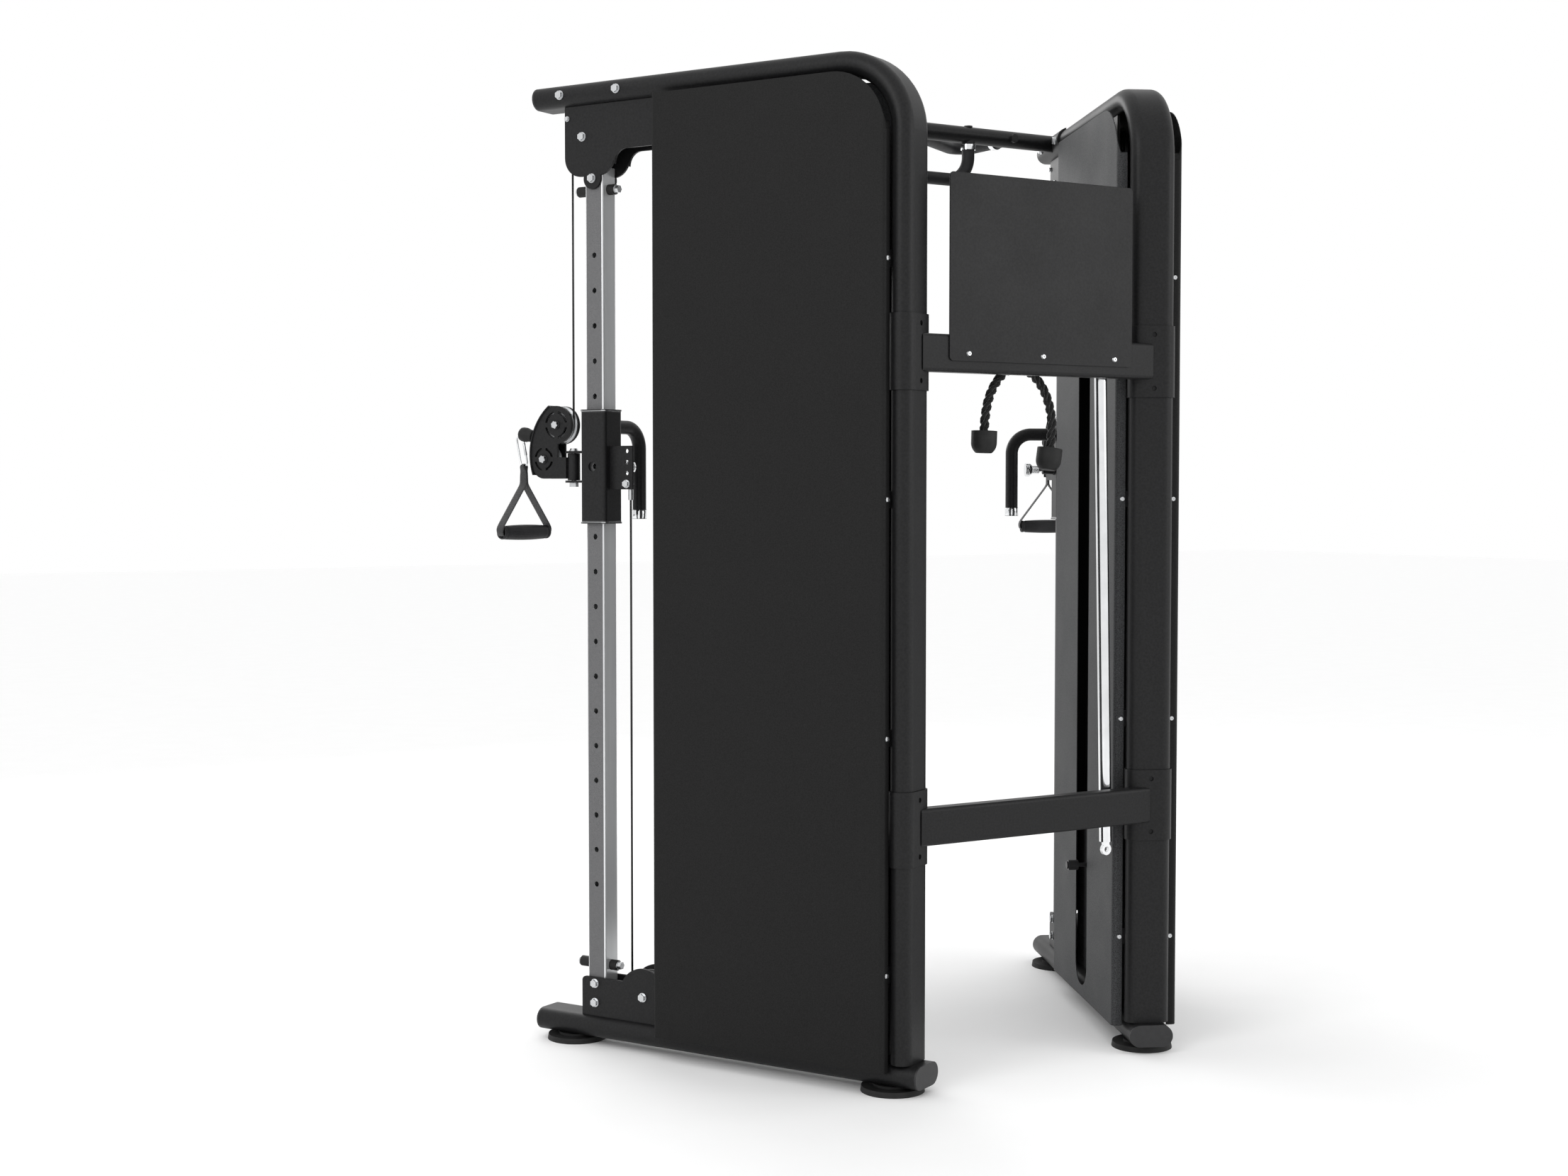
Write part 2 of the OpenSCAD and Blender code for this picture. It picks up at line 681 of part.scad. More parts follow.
// nylon bushes at both ends, swivel bolt, and the cable anchor's bolt and fork
module carriage_hardware(s) color("#8f9194") tower(s) {
    for (e = [-1, 1]) translate([0, col_y, pin_z + e * car_h / 2]) mirror([0, 0, e < 0 ? 1 : 0])
        difference() {
            union() {
                linear_extrude(4) rrect(car_w + 3, car_w + 3, 11);
                translate([0, 0, -30]) linear_extrude(30.5) rrect(59.8, 59.8, 5);
            }
            translate([0, 0, -31]) linear_extrude(40) rrect(col_w + 1, col_w + 1, 5);
        }
    translate([0, axis_y, pin_z - 46]) cylinder(d = 12, h = 86);
    translate([0, axis_y, pin_z + 36.6]) cylinder(d1 = 22, d2 = 16, h = 6);
    translate([0, axis_y, pin_z - 46]) cylinder(d = 21, h = 9.4, $fn = 6);
    pin_x([anchor_y - 2, pin_z - 39.5], -8, 15, 10);
    hex_x([anchor_y - 2, pin_z - 39.5], 13.1, 9);
    translate([0, anchor_y, pin_z - 76]) difference() {
        cylinder(d = 11, h = 34);
        translate([0, 0, -1]) cylinder(d = cable_d + 0.2, h = 12);
    }
}

module carriage_hardware_right() carriage_hardware(1);
module carriage_hardware_left() carriage_hardware(-1);

// J-shaped handle on the inner side, with a plated end cap
module grip_handle(s) color("#232425") tower(s) translate([0, col_y, 0]) {
    r = 50;
    z = pin_z + 92;
    pin_x([0, z], -98, -car_w / 2 - 0.1, grip_d);
    translate([-98, 0, z - r]) rotate([90, 0, 0]) rotate([0, 0, 90])
        rotate_extrude(angle = 90) translate([r, 0]) circle(d = grip_d);
    translate([-98 - r, 0, z - 191]) cylinder(d = grip_d, h = 191 - r);
    translate([-98 - r, 0, z - 213]) cylinder(d = grip_d + 2, h = 22);
}

module grip_handle_right() grip_handle(1);
module grip_handle_left() grip_handle(-1);

module pop_pin(s) color("#b4b6b9") tower(s) {
    pin_x([col_y, pin_z], -80, -12, 12);
    pin_x([col_y, pin_z], -96, -76, 20);
    translate([-96, col_y, pin_z]) rotate([0, -90, 0]) cylinder(d1 = 26, d2 = 34, h = 6);
    pin_x([col_y, pin_z], -112, -102, 34);
}

module pop_pin_right() pop_pin(1);
module pop_pin_left() pop_pin(-1);

// ---------- swivelling arm ----------

// four arc windows round an axle: a ring with a cross of spokes left in it
module arc_windows(p, r0, r1) translate(p) difference() {
    circle(r1);
    circle(r0);
    square([2 * r1, 11], center = true);
    square([11, 2 * r1], center = true);
}

// side outline of a cheek plate, apart from the web behind the curved strip
module cheek_outline() difference() {
    union() {
        disc2(arm_up, 44);
        disc2(arm_low, 34);
        box2([arm_low[0] - 14, arm_up[0] + 4], [arm_low[1], arm_up[1]]);
        box2([arm_low[0], axis_y - 13], [pin_z - 27, pin_z + 22]);
        disc2([arm_low[0], pin_z + 7], 34);
        intersection() {
            disc2(arc_c, arc_r - 3);
            polygon([arm_low, arm_up + [0, 20], arc_c + 300 * [-cos(52), sin(52)],
                arc_c + 300 * [-cos(15), sin(15)], arc_c + 300 * [-cos(18), -sin(18)]]);
        }
    }
    arc_windows(arm_up, 26, 32);
    arc_windows(arm_low, 21, 27);
    disc2(arm_up, 5);
    disc2(arm_low, 5);
}

// curved strip across the front, open where the cable comes out
module front_strip() difference() {
    side(-20, 20) intersection() {
        difference() {
            disc2(arc_c, arc_r);
            disc2(arc_c, arc_r - 3);
        }
        polygon([arc_c, arc_c + 300 * [-cos(53), sin(53)],
            arc_c + 300 * [-cos(15), sin(15)], arc_c + 300 * [-cos(20), -sin(20)]]);
    }
    on_exit(30) cylinder(d = 12, h = 60);
}

module swivel_arm(s) color("#3c3d40") tower(s) {
    for (x = [-arm_half, arm_half - 3.5]) side(x, x + 3.5) cheek_outline();
    front_strip();
    difference() {
        translate([0, axis_y, pin_z - 31]) cylinder(d = 29, h = 62);
        translate([0, axis_y, pin_z - 40]) cylinder(d = 12.1, h = 80);
    }
    // blocks between the cheeks and the swivel bush
    difference() {
        translate([-arm_half, axis_y - 24, pin_z - 27]) cube([2 * arm_half, 14, 49]);
        translate([0, axis_y, pin_z - 40]) cylinder(d = 29, h = 80);
    }
    for (p = [arm_up, arm_low]) bolt_x(p, arm_half, 10);
}

module swivel_arm_right() swivel_arm(1);
module swivel_arm_left() swivel_arm(-1);

// ---------- cable end and stirrup handle ----------

// along the cable where it leaves the arm
module on_exit(s0) translate([0, exit_p[0], exit_p[1]]) rotate([90 - exit_a, 0, 0])
    translate([0, 0, s0]) children();

module cable_end(s) color("#b9bbbe") tower(s) {
    on_exit(ball_s) {
        difference() {
            cylinder(d = ball_d, h = ball_l);
            translate([0, 0, -1]) cylinder(d = cable_d + 0.2, h = 20);
        }
        translate([0, 0, ball_l]) cylinder(d = 9, h = 6);
    }
    snap_hook();
}

// oval snap hook in the plane of the cable, leaning forwards to the ball stop's neck
module snap_hook() translate([0, hang_y, hook_z]) rotate([hook_lean, 0, 0]) {
    for (y = [-hook_r, hook_r]) translate([0, y, 0]) cylinder(d = hook_d, h = hook_l, $fn = 32);
    for (e = [0, 1]) translate([0, 0, e * hook_l]) rotate([0, 0, 90])
        rotate([e > 0 ? 90 : -90, 0, 0]) rotate_extrude(angle = 180)
            translate([hook_r, 0]) circle(d = hook_d, $fn = 32);
}

module cable_end_right() cable_end(1);
module cable_end_left() cable_end(-1);

module hanging(a) translate([0, hang_y, 0]) rotate([0, 0, a]) children();

// webbing: loop over the hook, neck, two legs and the pass through the grip
module strap_shape() {
    rotate([90, 0, 0]) translate([0, 0, -12.5]) linear_extrude(25) {
        translate([-3, pin_z - 40]) square([6, 36]);
        for (s = [0, 1]) mirror([s, 0]) polygon([[0, pin_z - 36], [3, pin_z - 36],
            [grip_l / 2 + 5, grip_z + 14], [grip_l / 2 + 5, grip_z - 10],
            [grip_l / 2 + 2, grip_z - 10], [grip_l / 2 + 2, grip_z + 13],
            [0, pin_z - 42]]);
    }
    translate([-grip_l / 2 - 4, -5, grip_z - 9.5]) cube([grip_l + 8, 10, 3]);
    translate([0, 4, loop_z]) rotate([90, 0, 0]) difference() {
        cylinder(r = loop_r + 2.3, h = 8);
        translate([0, 0, -1]) cylinder(r = loop_r, h = 10);
    }
}

module handle_strap_right() color("#2c2d2f") tower(1) hanging(twist_right) strap_shape();
module handle_strap_left() color("#2c2d2f") tower(-1) hanging(0) strap_shape();

// hollow grip, fuller in the middle
module grip_shape() translate([0, 0, grip_z]) rotate([0, 90, 0]) rotate_extrude() {
    translate([11.5, -grip_l / 2]) square([4, grip_l]);
    intersection() {
        translate([-182, 0]) circle(200, $fn = 360);
        translate([11.5, -grip_l / 2]) square([20, grip_l]);
    }
}

module handle_grip_right() color("#1d1e1f") tower(1) hanging(twist_right) grip_shape();
module handle_grip_left() color("#1d1e1f") tower(-1) hanging(0) grip_shape();

// ---------- cables ----------

// points round a pulley, from angle a0 to a1 in [y, z]
function turn(p, r, a0, a1) = let (n = ceil(abs(a1 - a0) / 12))
    [for (k = [0:n]) let (a = a0 + (a1 - a0) * k / n) p + r * [cos(a), sin(a)]];

// crossing tangent from the return pulley's front to the low pulley's back
cross_v = low_pulley - return_pulley;
cross_a = atan2(cross_v[1], cross_v[0]) + 360;
leave_a = cross_a - acos(2 * pulley_r / norm(cross_v));

// the whole cable, from the ball stop to the carriage's anchor
cable_path = concat(
    [exit_p + (ball_s + 18) * [-cos(exit_a), sin(exit_a)]],
    turn(arm_up, arm_up_r, 270 - exit_a, 360),
    turn(front_pulley, pulley_r, 180, 90),
    turn(rear_pulley, pulley_r, 90, 0),
    turn(stack_pulley, pulley_r, 0, -180),
    turn(return_pulley, pulley_r, 0, leave_a),
    turn(low_pulley, pulley_r, leave_a - 180, -180),
    [[anchor_y, pin_z - 68]]);

module cable(s) color("#191919") tower(s) rotate([0, 0, 90]) sweep(cable_path, cable_d, 8);

module cable_right() cable(1);
module cable_left() cable(-1);

// ---------- hanging accessories ----------

module straight_bar() color("#d3d5d7") translate([bar_peg_x, origin_y + rope_y, sbar_eye_z])
    rotate([0, sbar_tilt, 0]) {
        translate([0, 0, -18 - sbar_l]) cylinder(d = sbar_d, h = sbar_l);
        for (e = [0, -36 - sbar_l]) translate([0, 0, e]) rotate([90, 0, 0]) difference() {
            union() {
                translate([0, 0, -4]) cylinder(d = 26, h = 8);
                translate([-8, e < 0 ? 4 : -20, -4]) cube([16, 16, 8]);
            }
            translate([0, 0, -10]) cylinder(d = sbar_eye, h = 20);
        }
    }

// points of a smooth curve through hand-set points
function cr(p0, p1, p2, p3, t) = 0.5 * ((2 * p1) + (p2 - p0) * t
    + (2 * p0 - 5 * p1 + 4 * p2 - p3) * t * t + (3 * p1 - p0 - 3 * p2 + p3) * t * t * t);
function smooth(p, n) = let (m = len(p)) concat([for (i = [0:m - 2], k = [0:n - 1])
    cr(p[max(i - 1, 0)], p[i], p[i + 1], p[min(i + 2, m - 1)], k / n)], [p[m - 1]]);

// round cord of diameter d with m sides along points in the plane of [x, z]
module sweep(c, d, m) {
    n = len(c);
    v = [for (i = [0:n - 1]) let (t = c[min(i + 1, n - 1)] - c[max(i - 1, 0)],
        q = [-t[1], t[0]] / norm(t)) for (k = [0:m - 1]) let (a = 360 * k / m)
        [c[i][0] + q[0] * cos(a) * d / 2, sin(a) * d / 2,
         c[i][1] + q[1] * cos(a) * d / 2]];
    f = concat([[for (k = [0:m - 1]) k]], [[for (k = [m - 1:-1:0]) (n - 1) * m + k]],
        [for (i = [0:n - 2], k = [0:m - 1]) [i * m + k, (i + 1) * m + k,
            (i + 1) * m + (k + 1) % m, i * m + (k + 1) % m]]);
    polyhedron(v, f);
}

module triceps_rope() color("#141414") translate([0, origin_y + rope_y, 0]) {
    sweep(smooth(rope_a, 3), rope_d, 10);
    sweep(smooth(rope_b, 3), rope_d, 10);
}

// eye that hangs on the peg, and a rubber cup on each rope end
module cup() difference() {
    union() {
        translate([0, 0, -12]) cylinder(d = 56, h = 26);
        intersection() {
            translate([0, 0, -12]) sphere(d = 56);
            translate([0, 0, -34]) cylinder(d = 60, h = 22);
        }
    }
    translate([0, 0, -6]) cylinder(d = rope_d + 1, h = 30);
}

module link_outline(d) hull() for (z = [rope_top + 14 + eye_in / 2, eye_z])
    translate([0, z]) circle(d = d);

module rope_fittings() color("#1f1f20") translate([0, origin_y + rope_y, 0]) {
    translate([rope_a[6][0], 0, rope_a[6][1] - 2]) rotate([0, -2, 0]) cup();
    translate([rope_b[8][0], 0, rope_b[8][1] - 2]) rotate([0, -9, 0]) cup();
    translate([peg_x, 4, 0]) rotate([90, 0, 0]) linear_extrude(8) difference() {
        link_outline(eye_in + 14);
        link_outline(eye_in);
    }
    translate([peg_x, 0, rope_top]) rotate([0, 90, 0]) cylinder(d = 26, h = 24, center = true);
}

// ---------- show one node or all ----------

frame_tubes();
base_rails();
tube_end_caps();
rubber_feet();
upright_collars();
cross_members();
accessory_board();
button_screws();
outer_shrouds();
inner_shrouds();
guide_columns();
top_brackets();
bottom_brackets();
column_stops();
frame_bolts();
pull_up_bar();
pull_up_grips();
grip_collars();
guide_rods();
weight_plates();
stack_cushions();
straight_bar();
triceps_rope();
rope_fittings();
cable_right();
cable_left();
carriage_right();
carriage_left();
carriage_hardware_right();
carriage_hardware_left();
grip_handle_right();
grip_handle_left();
pop_pin_right();
pop_pin_left();
swivel_arm_right();
swivel_arm_left();
arm_pulley_upper_right();
arm_pulley_upper_left();
arm_pulley_lower_right();
arm_pulley_lower_left();
cable_end_right();
cable_end_left();
handle_strap_right();
handle_strap_left();
handle_grip_right();
handle_grip_left();
lifted_stack_right();
lifted_stack_left();
selector_pin_right();
selector_pin_left();
front_pulley_right();
front_pulley_left();
rear_pulley_right();
rear_pulley_left();
stack_pulley_right();
stack_pulley_left();
return_pulley_right();
return_pulley_left();
low_pulley_right();
low_pulley_left();
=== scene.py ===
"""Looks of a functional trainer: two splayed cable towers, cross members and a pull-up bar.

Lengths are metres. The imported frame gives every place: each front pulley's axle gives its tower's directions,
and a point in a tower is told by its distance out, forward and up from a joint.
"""

import json  # noqa: E402
import math  # noqa: E402
import random  # noqa: E402

import bmesh  # noqa: E402
import bpy  # noqa: E402
from mathutils import Matrix, Vector  # noqa: E402


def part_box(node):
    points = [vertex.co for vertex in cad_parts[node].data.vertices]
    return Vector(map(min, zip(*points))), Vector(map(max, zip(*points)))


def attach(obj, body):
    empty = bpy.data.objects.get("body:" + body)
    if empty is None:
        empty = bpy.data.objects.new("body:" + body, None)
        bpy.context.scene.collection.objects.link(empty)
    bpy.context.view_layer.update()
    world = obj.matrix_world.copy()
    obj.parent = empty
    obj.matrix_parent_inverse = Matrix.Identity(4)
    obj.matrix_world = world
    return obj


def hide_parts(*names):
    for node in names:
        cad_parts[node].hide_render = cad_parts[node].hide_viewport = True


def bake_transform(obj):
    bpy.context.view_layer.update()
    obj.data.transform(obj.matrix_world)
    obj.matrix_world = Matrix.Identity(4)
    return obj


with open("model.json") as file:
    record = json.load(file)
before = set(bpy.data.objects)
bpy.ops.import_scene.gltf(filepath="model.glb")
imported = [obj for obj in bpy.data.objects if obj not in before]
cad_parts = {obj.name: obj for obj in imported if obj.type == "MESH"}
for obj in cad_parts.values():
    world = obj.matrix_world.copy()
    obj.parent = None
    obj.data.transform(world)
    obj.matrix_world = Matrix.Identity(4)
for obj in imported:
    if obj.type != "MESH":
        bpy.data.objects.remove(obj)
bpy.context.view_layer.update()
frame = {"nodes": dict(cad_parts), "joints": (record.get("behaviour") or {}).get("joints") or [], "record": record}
random.seed(7)

SIDES = ("right", "left")
UP = Vector((0, 0, 1))

# Camera: the way it looks, its lens on a 36 mm sensor, and its place
CAMERA_AZIMUTH = math.radians(148.05)
CAMERA_PITCH = math.radians(2.587)
CAMERA_LENS = 49.67
CAMERA_PLACE = (2.9587, 4.1692, 1.2776)

# Cable and pulleys
CABLE_D = 0.005
FRAME_WRAP = 0.052
ARM_WRAP = 0.0385
EXIT_RISE = math.radians(10)
BALL_START = 0.074
TERMINAL_DEPTH = 0.068

# Stirrup handle, below the swivel's height
HANG = 0.1475
HOOK_Z = 0.012
LOOP_Z = HOOK_Z - 0.0109
GRIP_Z = -0.1525
GRIP_L = 0.148
RIGHT_TWIST = math.radians(-7)

# The arm's outer face from its swivel, and the front cover from the column
AXLE_FACE = 0.0170
COVER_BACK = 0.203

# Triceps rope: the route of each leg as (x, z), and the plane that it hangs in
ROPE_D = 0.021
ROPE_Y = 0.418
ROPE_LEGS = {
    "right": [(0.025, 1.541), (0.046, 1.537), (0.067, 1.522), (0.086, 1.498),
              (0.099, 1.469), (0.107, 1.431), (0.109, 1.394)],
    "left": [(0.015, 1.541), (-0.006, 1.538), (-0.026, 1.528), (-0.045, 1.510),
             (-0.061, 1.486), (-0.073, 1.454), (-0.078, 1.424), (-0.076, 1.390),
             (-0.071, 1.358)],
}


# ---------- camera ----------


def make_camera():
    """The camera stands behind the machine, a little above its middle, with a normal lens."""
    level = math.cos(CAMERA_PITCH)
    back = Vector((math.sin(CAMERA_AZIMUTH) * level, -math.cos(CAMERA_AZIMUTH) * level,
                   math.sin(CAMERA_PITCH)))
    right = Vector((math.cos(CAMERA_AZIMUTH), math.sin(CAMERA_AZIMUTH), 0))
    up = back.cross(right)
    data = bpy.data.cameras.new("camera")
    data.sensor_width = 36
    data.lens = CAMERA_LENS
    data.clip_end = 60
    camera = bpy.data.objects.new("camera", data)
    camera.matrix_world = Matrix.Translation(CAMERA_PLACE) @ Matrix(
        (right, up, back)).transposed().to_4x4()
    bpy.context.scene.collection.objects.link(camera)
    bpy.context.scene.camera = camera


make_camera()


# ---------- towers ----------


class Tower:
    """Directions and joint places of one tower."""

    def __init__(self, side):
        self.side = side
        self.joints = {j["name"]: j for j in frame["joints"]}
        self.out = Vector(self.joints["front_pulley_spin_" + side]["axis"])
        self.back = UP.cross(self.out)
        if side == "left":
            self.back = -self.back
        self.swivel = self.joint("arm_swivel")

    def joint(self, name):
        return Vector(self.joints[f"{name}_{self.side}"]["pos_m"])

    def at(self, point, out=0.0, back=0.0, up=0.0):
        return point + self.out * out + self.back * back + UP * up

    def body(self, name):
        return f"{name}_{self.side}"


TOWERS = {side: Tower(side) for side in SIDES}


# ---------- mesh helpers ----------


def mesh_object(name, verts, faces, smooth=True):
    mesh = bpy.data.meshes.new(name)
    mesh.from_pydata([tuple(v) for v in verts], [], faces)
    mesh.validate()
    work = bmesh.new()
    work.from_mesh(mesh)
    bmesh.ops.recalc_face_normals(work, faces=work.faces)
    work.to_mesh(mesh)
    work.free()
    if smooth:
        mesh.shade_smooth()
    obj = bpy.data.objects.new(name, mesh)
    bpy.context.scene.collection.objects.link(obj)
    return obj


def smooth_path(points, steps):
    """Catmull-Rom curve through the points."""
    made = []
    last = len(points) - 1
    for i in range(last):
        p0, p1 = points[max(i - 1, 0)], points[i]
        p2, p3 = points[i + 1], points[min(i + 2, last)]
        for k in range(steps):
            t = k / steps
            made.append(0.5 * (2 * p1 + (p2 - p0) * t + (2 * p0 - 5 * p1 + 4 * p2 - p3) * t * t
                               + (3 * p1 - p0 - 3 * p2 + p3) * t * t * t))
    made.append(points[-1])
    return made


def tangents(path):
    last = len(path) - 1
    return [(path[min(i + 1, last)] - path[max(i - 1, 0)]).normalized() for i in range(last + 1)]


def rings_to_mesh(name, rings, closed_ends=True):
    count = len(rings[0])
    faces = []
    for i in range(len(rings) - 1):
        for k in range(count):
            n = (k + 1) % count
            faces.append((i * count + k, i * count + n, (i + 1) * count + n, (i + 1) * count + k))
    if closed_ends:
        faces.append(tuple(range(count))[::-1])
        faces.append(tuple((len(rings) - 1) * count + k for k in range(count)))
    return mesh_object(name, [v for ring in rings for v in ring], faces)


def tube(name, path, diameter, normal, sides=16):
    """Round tube along a path that lies in the plane across normal."""
    rings = []
    for p, t in zip(path, tangents(path)):
        side = normal.cross(t).normalized()
        rings.append([p + (side * math.cos(a) + normal * math.sin(a)) * diameter / 2
                      for a in (2 * math.pi * k / sides for k in range(sides))])
    return rings_to_mesh(name, rings)


def lathe(name, profile, centre, axis, sides=64, flutes=0, depth=0.0, fluted=None):
    """Solid of revolution from (along, radius) pairs, fluted between two places if asked."""
    axis = axis.normalized()
    one = axis.orthogonal().normalized()
    two = axis.cross(one)
    rings = []
    for along, radius in profile:
        cut = depth if fluted and fluted[0] <= along <= fluted[1] else 0.0
        ring = []
        for k in range(sides):
            a = 2 * math.pi * k / sides
            r = radius - cut * (0.5 + 0.5 * math.cos(flutes * a))
            ring.append(centre + axis * along + (one * math.cos(a) + two * math.sin(a)) * r)
        rings.append(ring)
    return rings_to_mesh(name, rings, closed_ends=profile[0] != profile[-1])


def finish_piece(obj, body, material, replaced=()):
    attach(obj, body)
    dress(obj, material)
    if replaced:
        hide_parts(*replaced)
    return obj


def dress(obj, material):
    obj.data.materials.clear()
    obj.data.materials.append(material)


# ---------- materials ----------


class Look:
    """A node material being built round one Principled shader."""

    def __init__(self, name, color, roughness, metallic=0.0, specular=0.5):
        self.material = bpy.data.materials.new(name)
        self.material.use_nodes = True
        self.nodes = self.material.node_tree.nodes
        self.links = self.material.node_tree.links
        self.shader = self.nodes["Principled BSDF"]
        self.shader.inputs["Base Color"].default_value = (*color, 1)
        self.shader.inputs["Roughness"].default_value = roughness
        self.shader.inputs["Metallic"].default_value = metallic
        self.shader.inputs["Specular IOR Level"].default_value = specular
        self.coordinates = self.nodes.new("ShaderNodeTexCoord").outputs["Object"]
        self.normal = None

    def noise(self, scale, detail=3.0, stretch=None):
        vector = self.coordinates
        if stretch:
            mapping = self.nodes.new("ShaderNodeMapping")
            mapping.inputs["Scale"].default_value = stretch
            self.links.new(vector, mapping.inputs["Vector"])
            vector = mapping.outputs["Vector"]
        node = self.nodes.new("ShaderNodeTexNoise")
        node.inputs["Scale"].default_value = scale
        node.inputs["Detail"].default_value = detail
        self.links.new(vector, node.inputs["Vector"])
        return node.outputs["Fac"]

    def ramp(self, value, low, high, color_low, color_high):
        node = self.nodes.new("ShaderNodeValToRGB")
        node.color_ramp.elements[0].position = low
        node.color_ramp.elements[1].position = high
        node.color_ramp.elements[0].color = (*color_low, 1)
        node.color_ramp.elements[1].color = (*color_high, 1)
        self.links.new(value, node.inputs["Fac"])
        return node.outputs["Color"]

    def color(self, value, low, high, color_low, color_high):
        self.links.new(self.ramp(value, low, high, color_low, color_high),
                       self.shader.inputs["Base Color"])
        return self

    def roughness(self, value, low, high):
        node = self.nodes.new("ShaderNodeMapRange")
        node.inputs["To Min"].default_value = low
        node.inputs["To Max"].default_value = high
        self.links.new(value, node.inputs["Value"])
        self.links.new(node.outputs["Result"], self.shader.inputs["Roughness"])
        return self

    def bevel(self, radius):
        node = self.nodes.new("ShaderNodeBevel")
        node.samples = 4
        node.inputs["Radius"].default_value = radius
        self.normal = node.outputs["Normal"]
        self.links.new(self.normal, self.shader.inputs["Normal"])
        return self

    def bump(self, height, strength, distance):
        node = self.nodes.new("ShaderNodeBump")
        node.inputs["Strength"].default_value = strength
        node.inputs["Distance"].default_value = distance
        self.links.new(height, node.inputs["Height"])
        if self.normal:
            self.links.new(self.normal, node.inputs["Normal"])
        self.normal = node.outputs["Normal"]
        self.links.new(self.normal, self.shader.inputs["Normal"])
        return self


def scaled(color, factor):
    return tuple(c * factor for c in color)


def powder_coat(name, color, roughness, grain, bump=0.25, specular=0.4, contrast=0.35):
    """Textured powder coat: fine orange peel, faint tone changes, a little handling wear."""
    look = Look(name, color, roughness, specular=specular)
    look.color(look.noise(grain * 0.5, 4), 0.3, 0.7, scaled(color, 1 - contrast),
               scaled(color, 1 + contrast))
    look.roughness(look.noise(9, 5), roughness - 0.07, roughness + 0.07)
    look.bevel(0.0015)
    look.bump(look.noise(grain, 2), bump, 0.0004)
    return look.material


def column_plating(name):
    """Satin grey on the drilled faces; pale plating on the other two faces and on the corners, lifted with painted
    reflection streaks along the length.
    """
    look = Look(name, (0.5, 0.5, 0.5), 0.4, metallic=1.0)
    geometry = look.nodes.new("ShaderNodeNewGeometry").outputs["Normal"]
    facing = []
    for tower in TOWERS.values():
        dot = look.nodes.new("ShaderNodeVectorMath")
        dot.operation = "DOT_PRODUCT"
        dot.inputs[1].default_value = tower.out
        look.links.new(geometry, dot.inputs[0])
        size = look.nodes.new("ShaderNodeMath")
        size.operation = "ABSOLUTE"
        look.links.new(dot.outputs["Value"], size.inputs[0])
        facing.append(size.outputs[0])
    most = look.nodes.new("ShaderNodeMath")
    most.operation = "MAXIMUM"
    look.links.new(facing[0], most.inputs[0])
    look.links.new(facing[1], most.inputs[1])
    drilled = look.nodes.new("ShaderNodeMath")
    drilled.operation = "GREATER_THAN"
    drilled.inputs[1].default_value = 0.97
    look.links.new(most.outputs[0], drilled.inputs[0])
    grain = look.ramp(look.noise(900, 2), 0.3, 0.7, (0.09, 0.09, 0.092), (0.20, 0.20, 0.205))
    # Painted reflection: pale streaks along the column's length stand in for the studio reflected in the plated
    # faces, over the plating's own pale tone.
    plating_and_painted_reflection = look.ramp(look.noise(30, 4, (1, 1, 0.05)), 0.3, 0.7, (0.66, 0.67, 0.68),
                       (0.86, 0.87, 0.88))
    mix = look.nodes.new("ShaderNodeMix")
    mix.data_type = "RGBA"
    look.links.new(drilled.outputs[0], mix.inputs["Factor"])
    look.links.new(plating_and_painted_reflection, mix.inputs[6])
    look.links.new(grain, mix.inputs[7])
    look.links.new(mix.outputs[2], look.shader.inputs["Base Color"])
    look.roughness(drilled.outputs[0], 0.22, 0.6)
    look.shader.inputs["Metallic"].default_value = 0.55
    return look.material


def bright_metal(name, color, roughness, streak=(1, 1, 0.04), bump=0.05):
    """Plated steel with faint drawing marks along its length."""
    look = Look(name, color, roughness, metallic=1.0)
    look.color(look.noise(25, 3), 0.25, 0.75, scaled(color, 0.9), scaled(color, 1.05))
    look.roughness(look.noise(120, 3, streak), roughness * 0.7, roughness * 1.3)
    look.bump(look.noise(260, 2, streak), bump, 0.0002)
    return look.material


def rubber(name, color, roughness, grain=500, bump=0.3):
    """Moulded rubber: matt, with a fine pitted skin and dusty high spots."""
    look = Look(name, color, roughness, specular=0.3)
    look.color(look.noise(40, 5), 0.35, 0.7, scaled(color, 0.8), scaled(color, 1.5))
    look.roughness(look.noise(60, 3), roughness - 0.08, roughness + 0.08)
    look.bump(look.noise(grain, 2), bump, 0.0003)
    return look.material


def plastic(name, color, roughness):
    """Moulded nylon with a faint sink texture."""
    look = Look(name, color, roughness, specular=0.45)
    look.color(look.noise(80, 3), 0.3, 0.7, scaled(color, 0.85), scaled(color, 1.2))
    look.roughness(look.noise(35, 3), roughness - 0.05, roughness + 0.08)
    look.bevel(0.0008)
    look.bump(look.noise(300, 2), 0.12, 0.0003)
    return look.material


def woven(name, color, along, rib, sheen=0.35):
    """Woven nylon: two crossed sets of threads, a soft sheen, and paler worn threads."""
    look = Look(name, color, 0.75, specular=0.25)
    look.shader.inputs["Sheen Weight"].default_value = sheen
    look.shader.inputs["Sheen Roughness"].default_value = 0.5
    heights = []
    for direction, scale in ((along, rib), (along.orthogonal(), rib * 0.7)):
        dot = look.nodes.new("ShaderNodeVectorMath")
        dot.operation = "DOT_PRODUCT"
        dot.inputs[1].default_value = direction.normalized() * (2 * math.pi / scale)
        look.links.new(look.coordinates, dot.inputs[0])
        wave = look.nodes.new("ShaderNodeMath")
        wave.operation = "SINE"
        look.links.new(dot.outputs["Value"], wave.inputs[0])
        heights.append(wave.outputs[0])
    product = look.nodes.new("ShaderNodeMath")
    product.operation = "MULTIPLY"
    look.links.new(heights[0], product.inputs[0])
    look.links.new(heights[1], product.inputs[1])
    look.color(look.noise(700, 4), 0.3, 0.75, scaled(color, 0.6), scaled(color, 1.9))
    look.bump(product.outputs[0], 0.5, 0.0004)
    return look.material


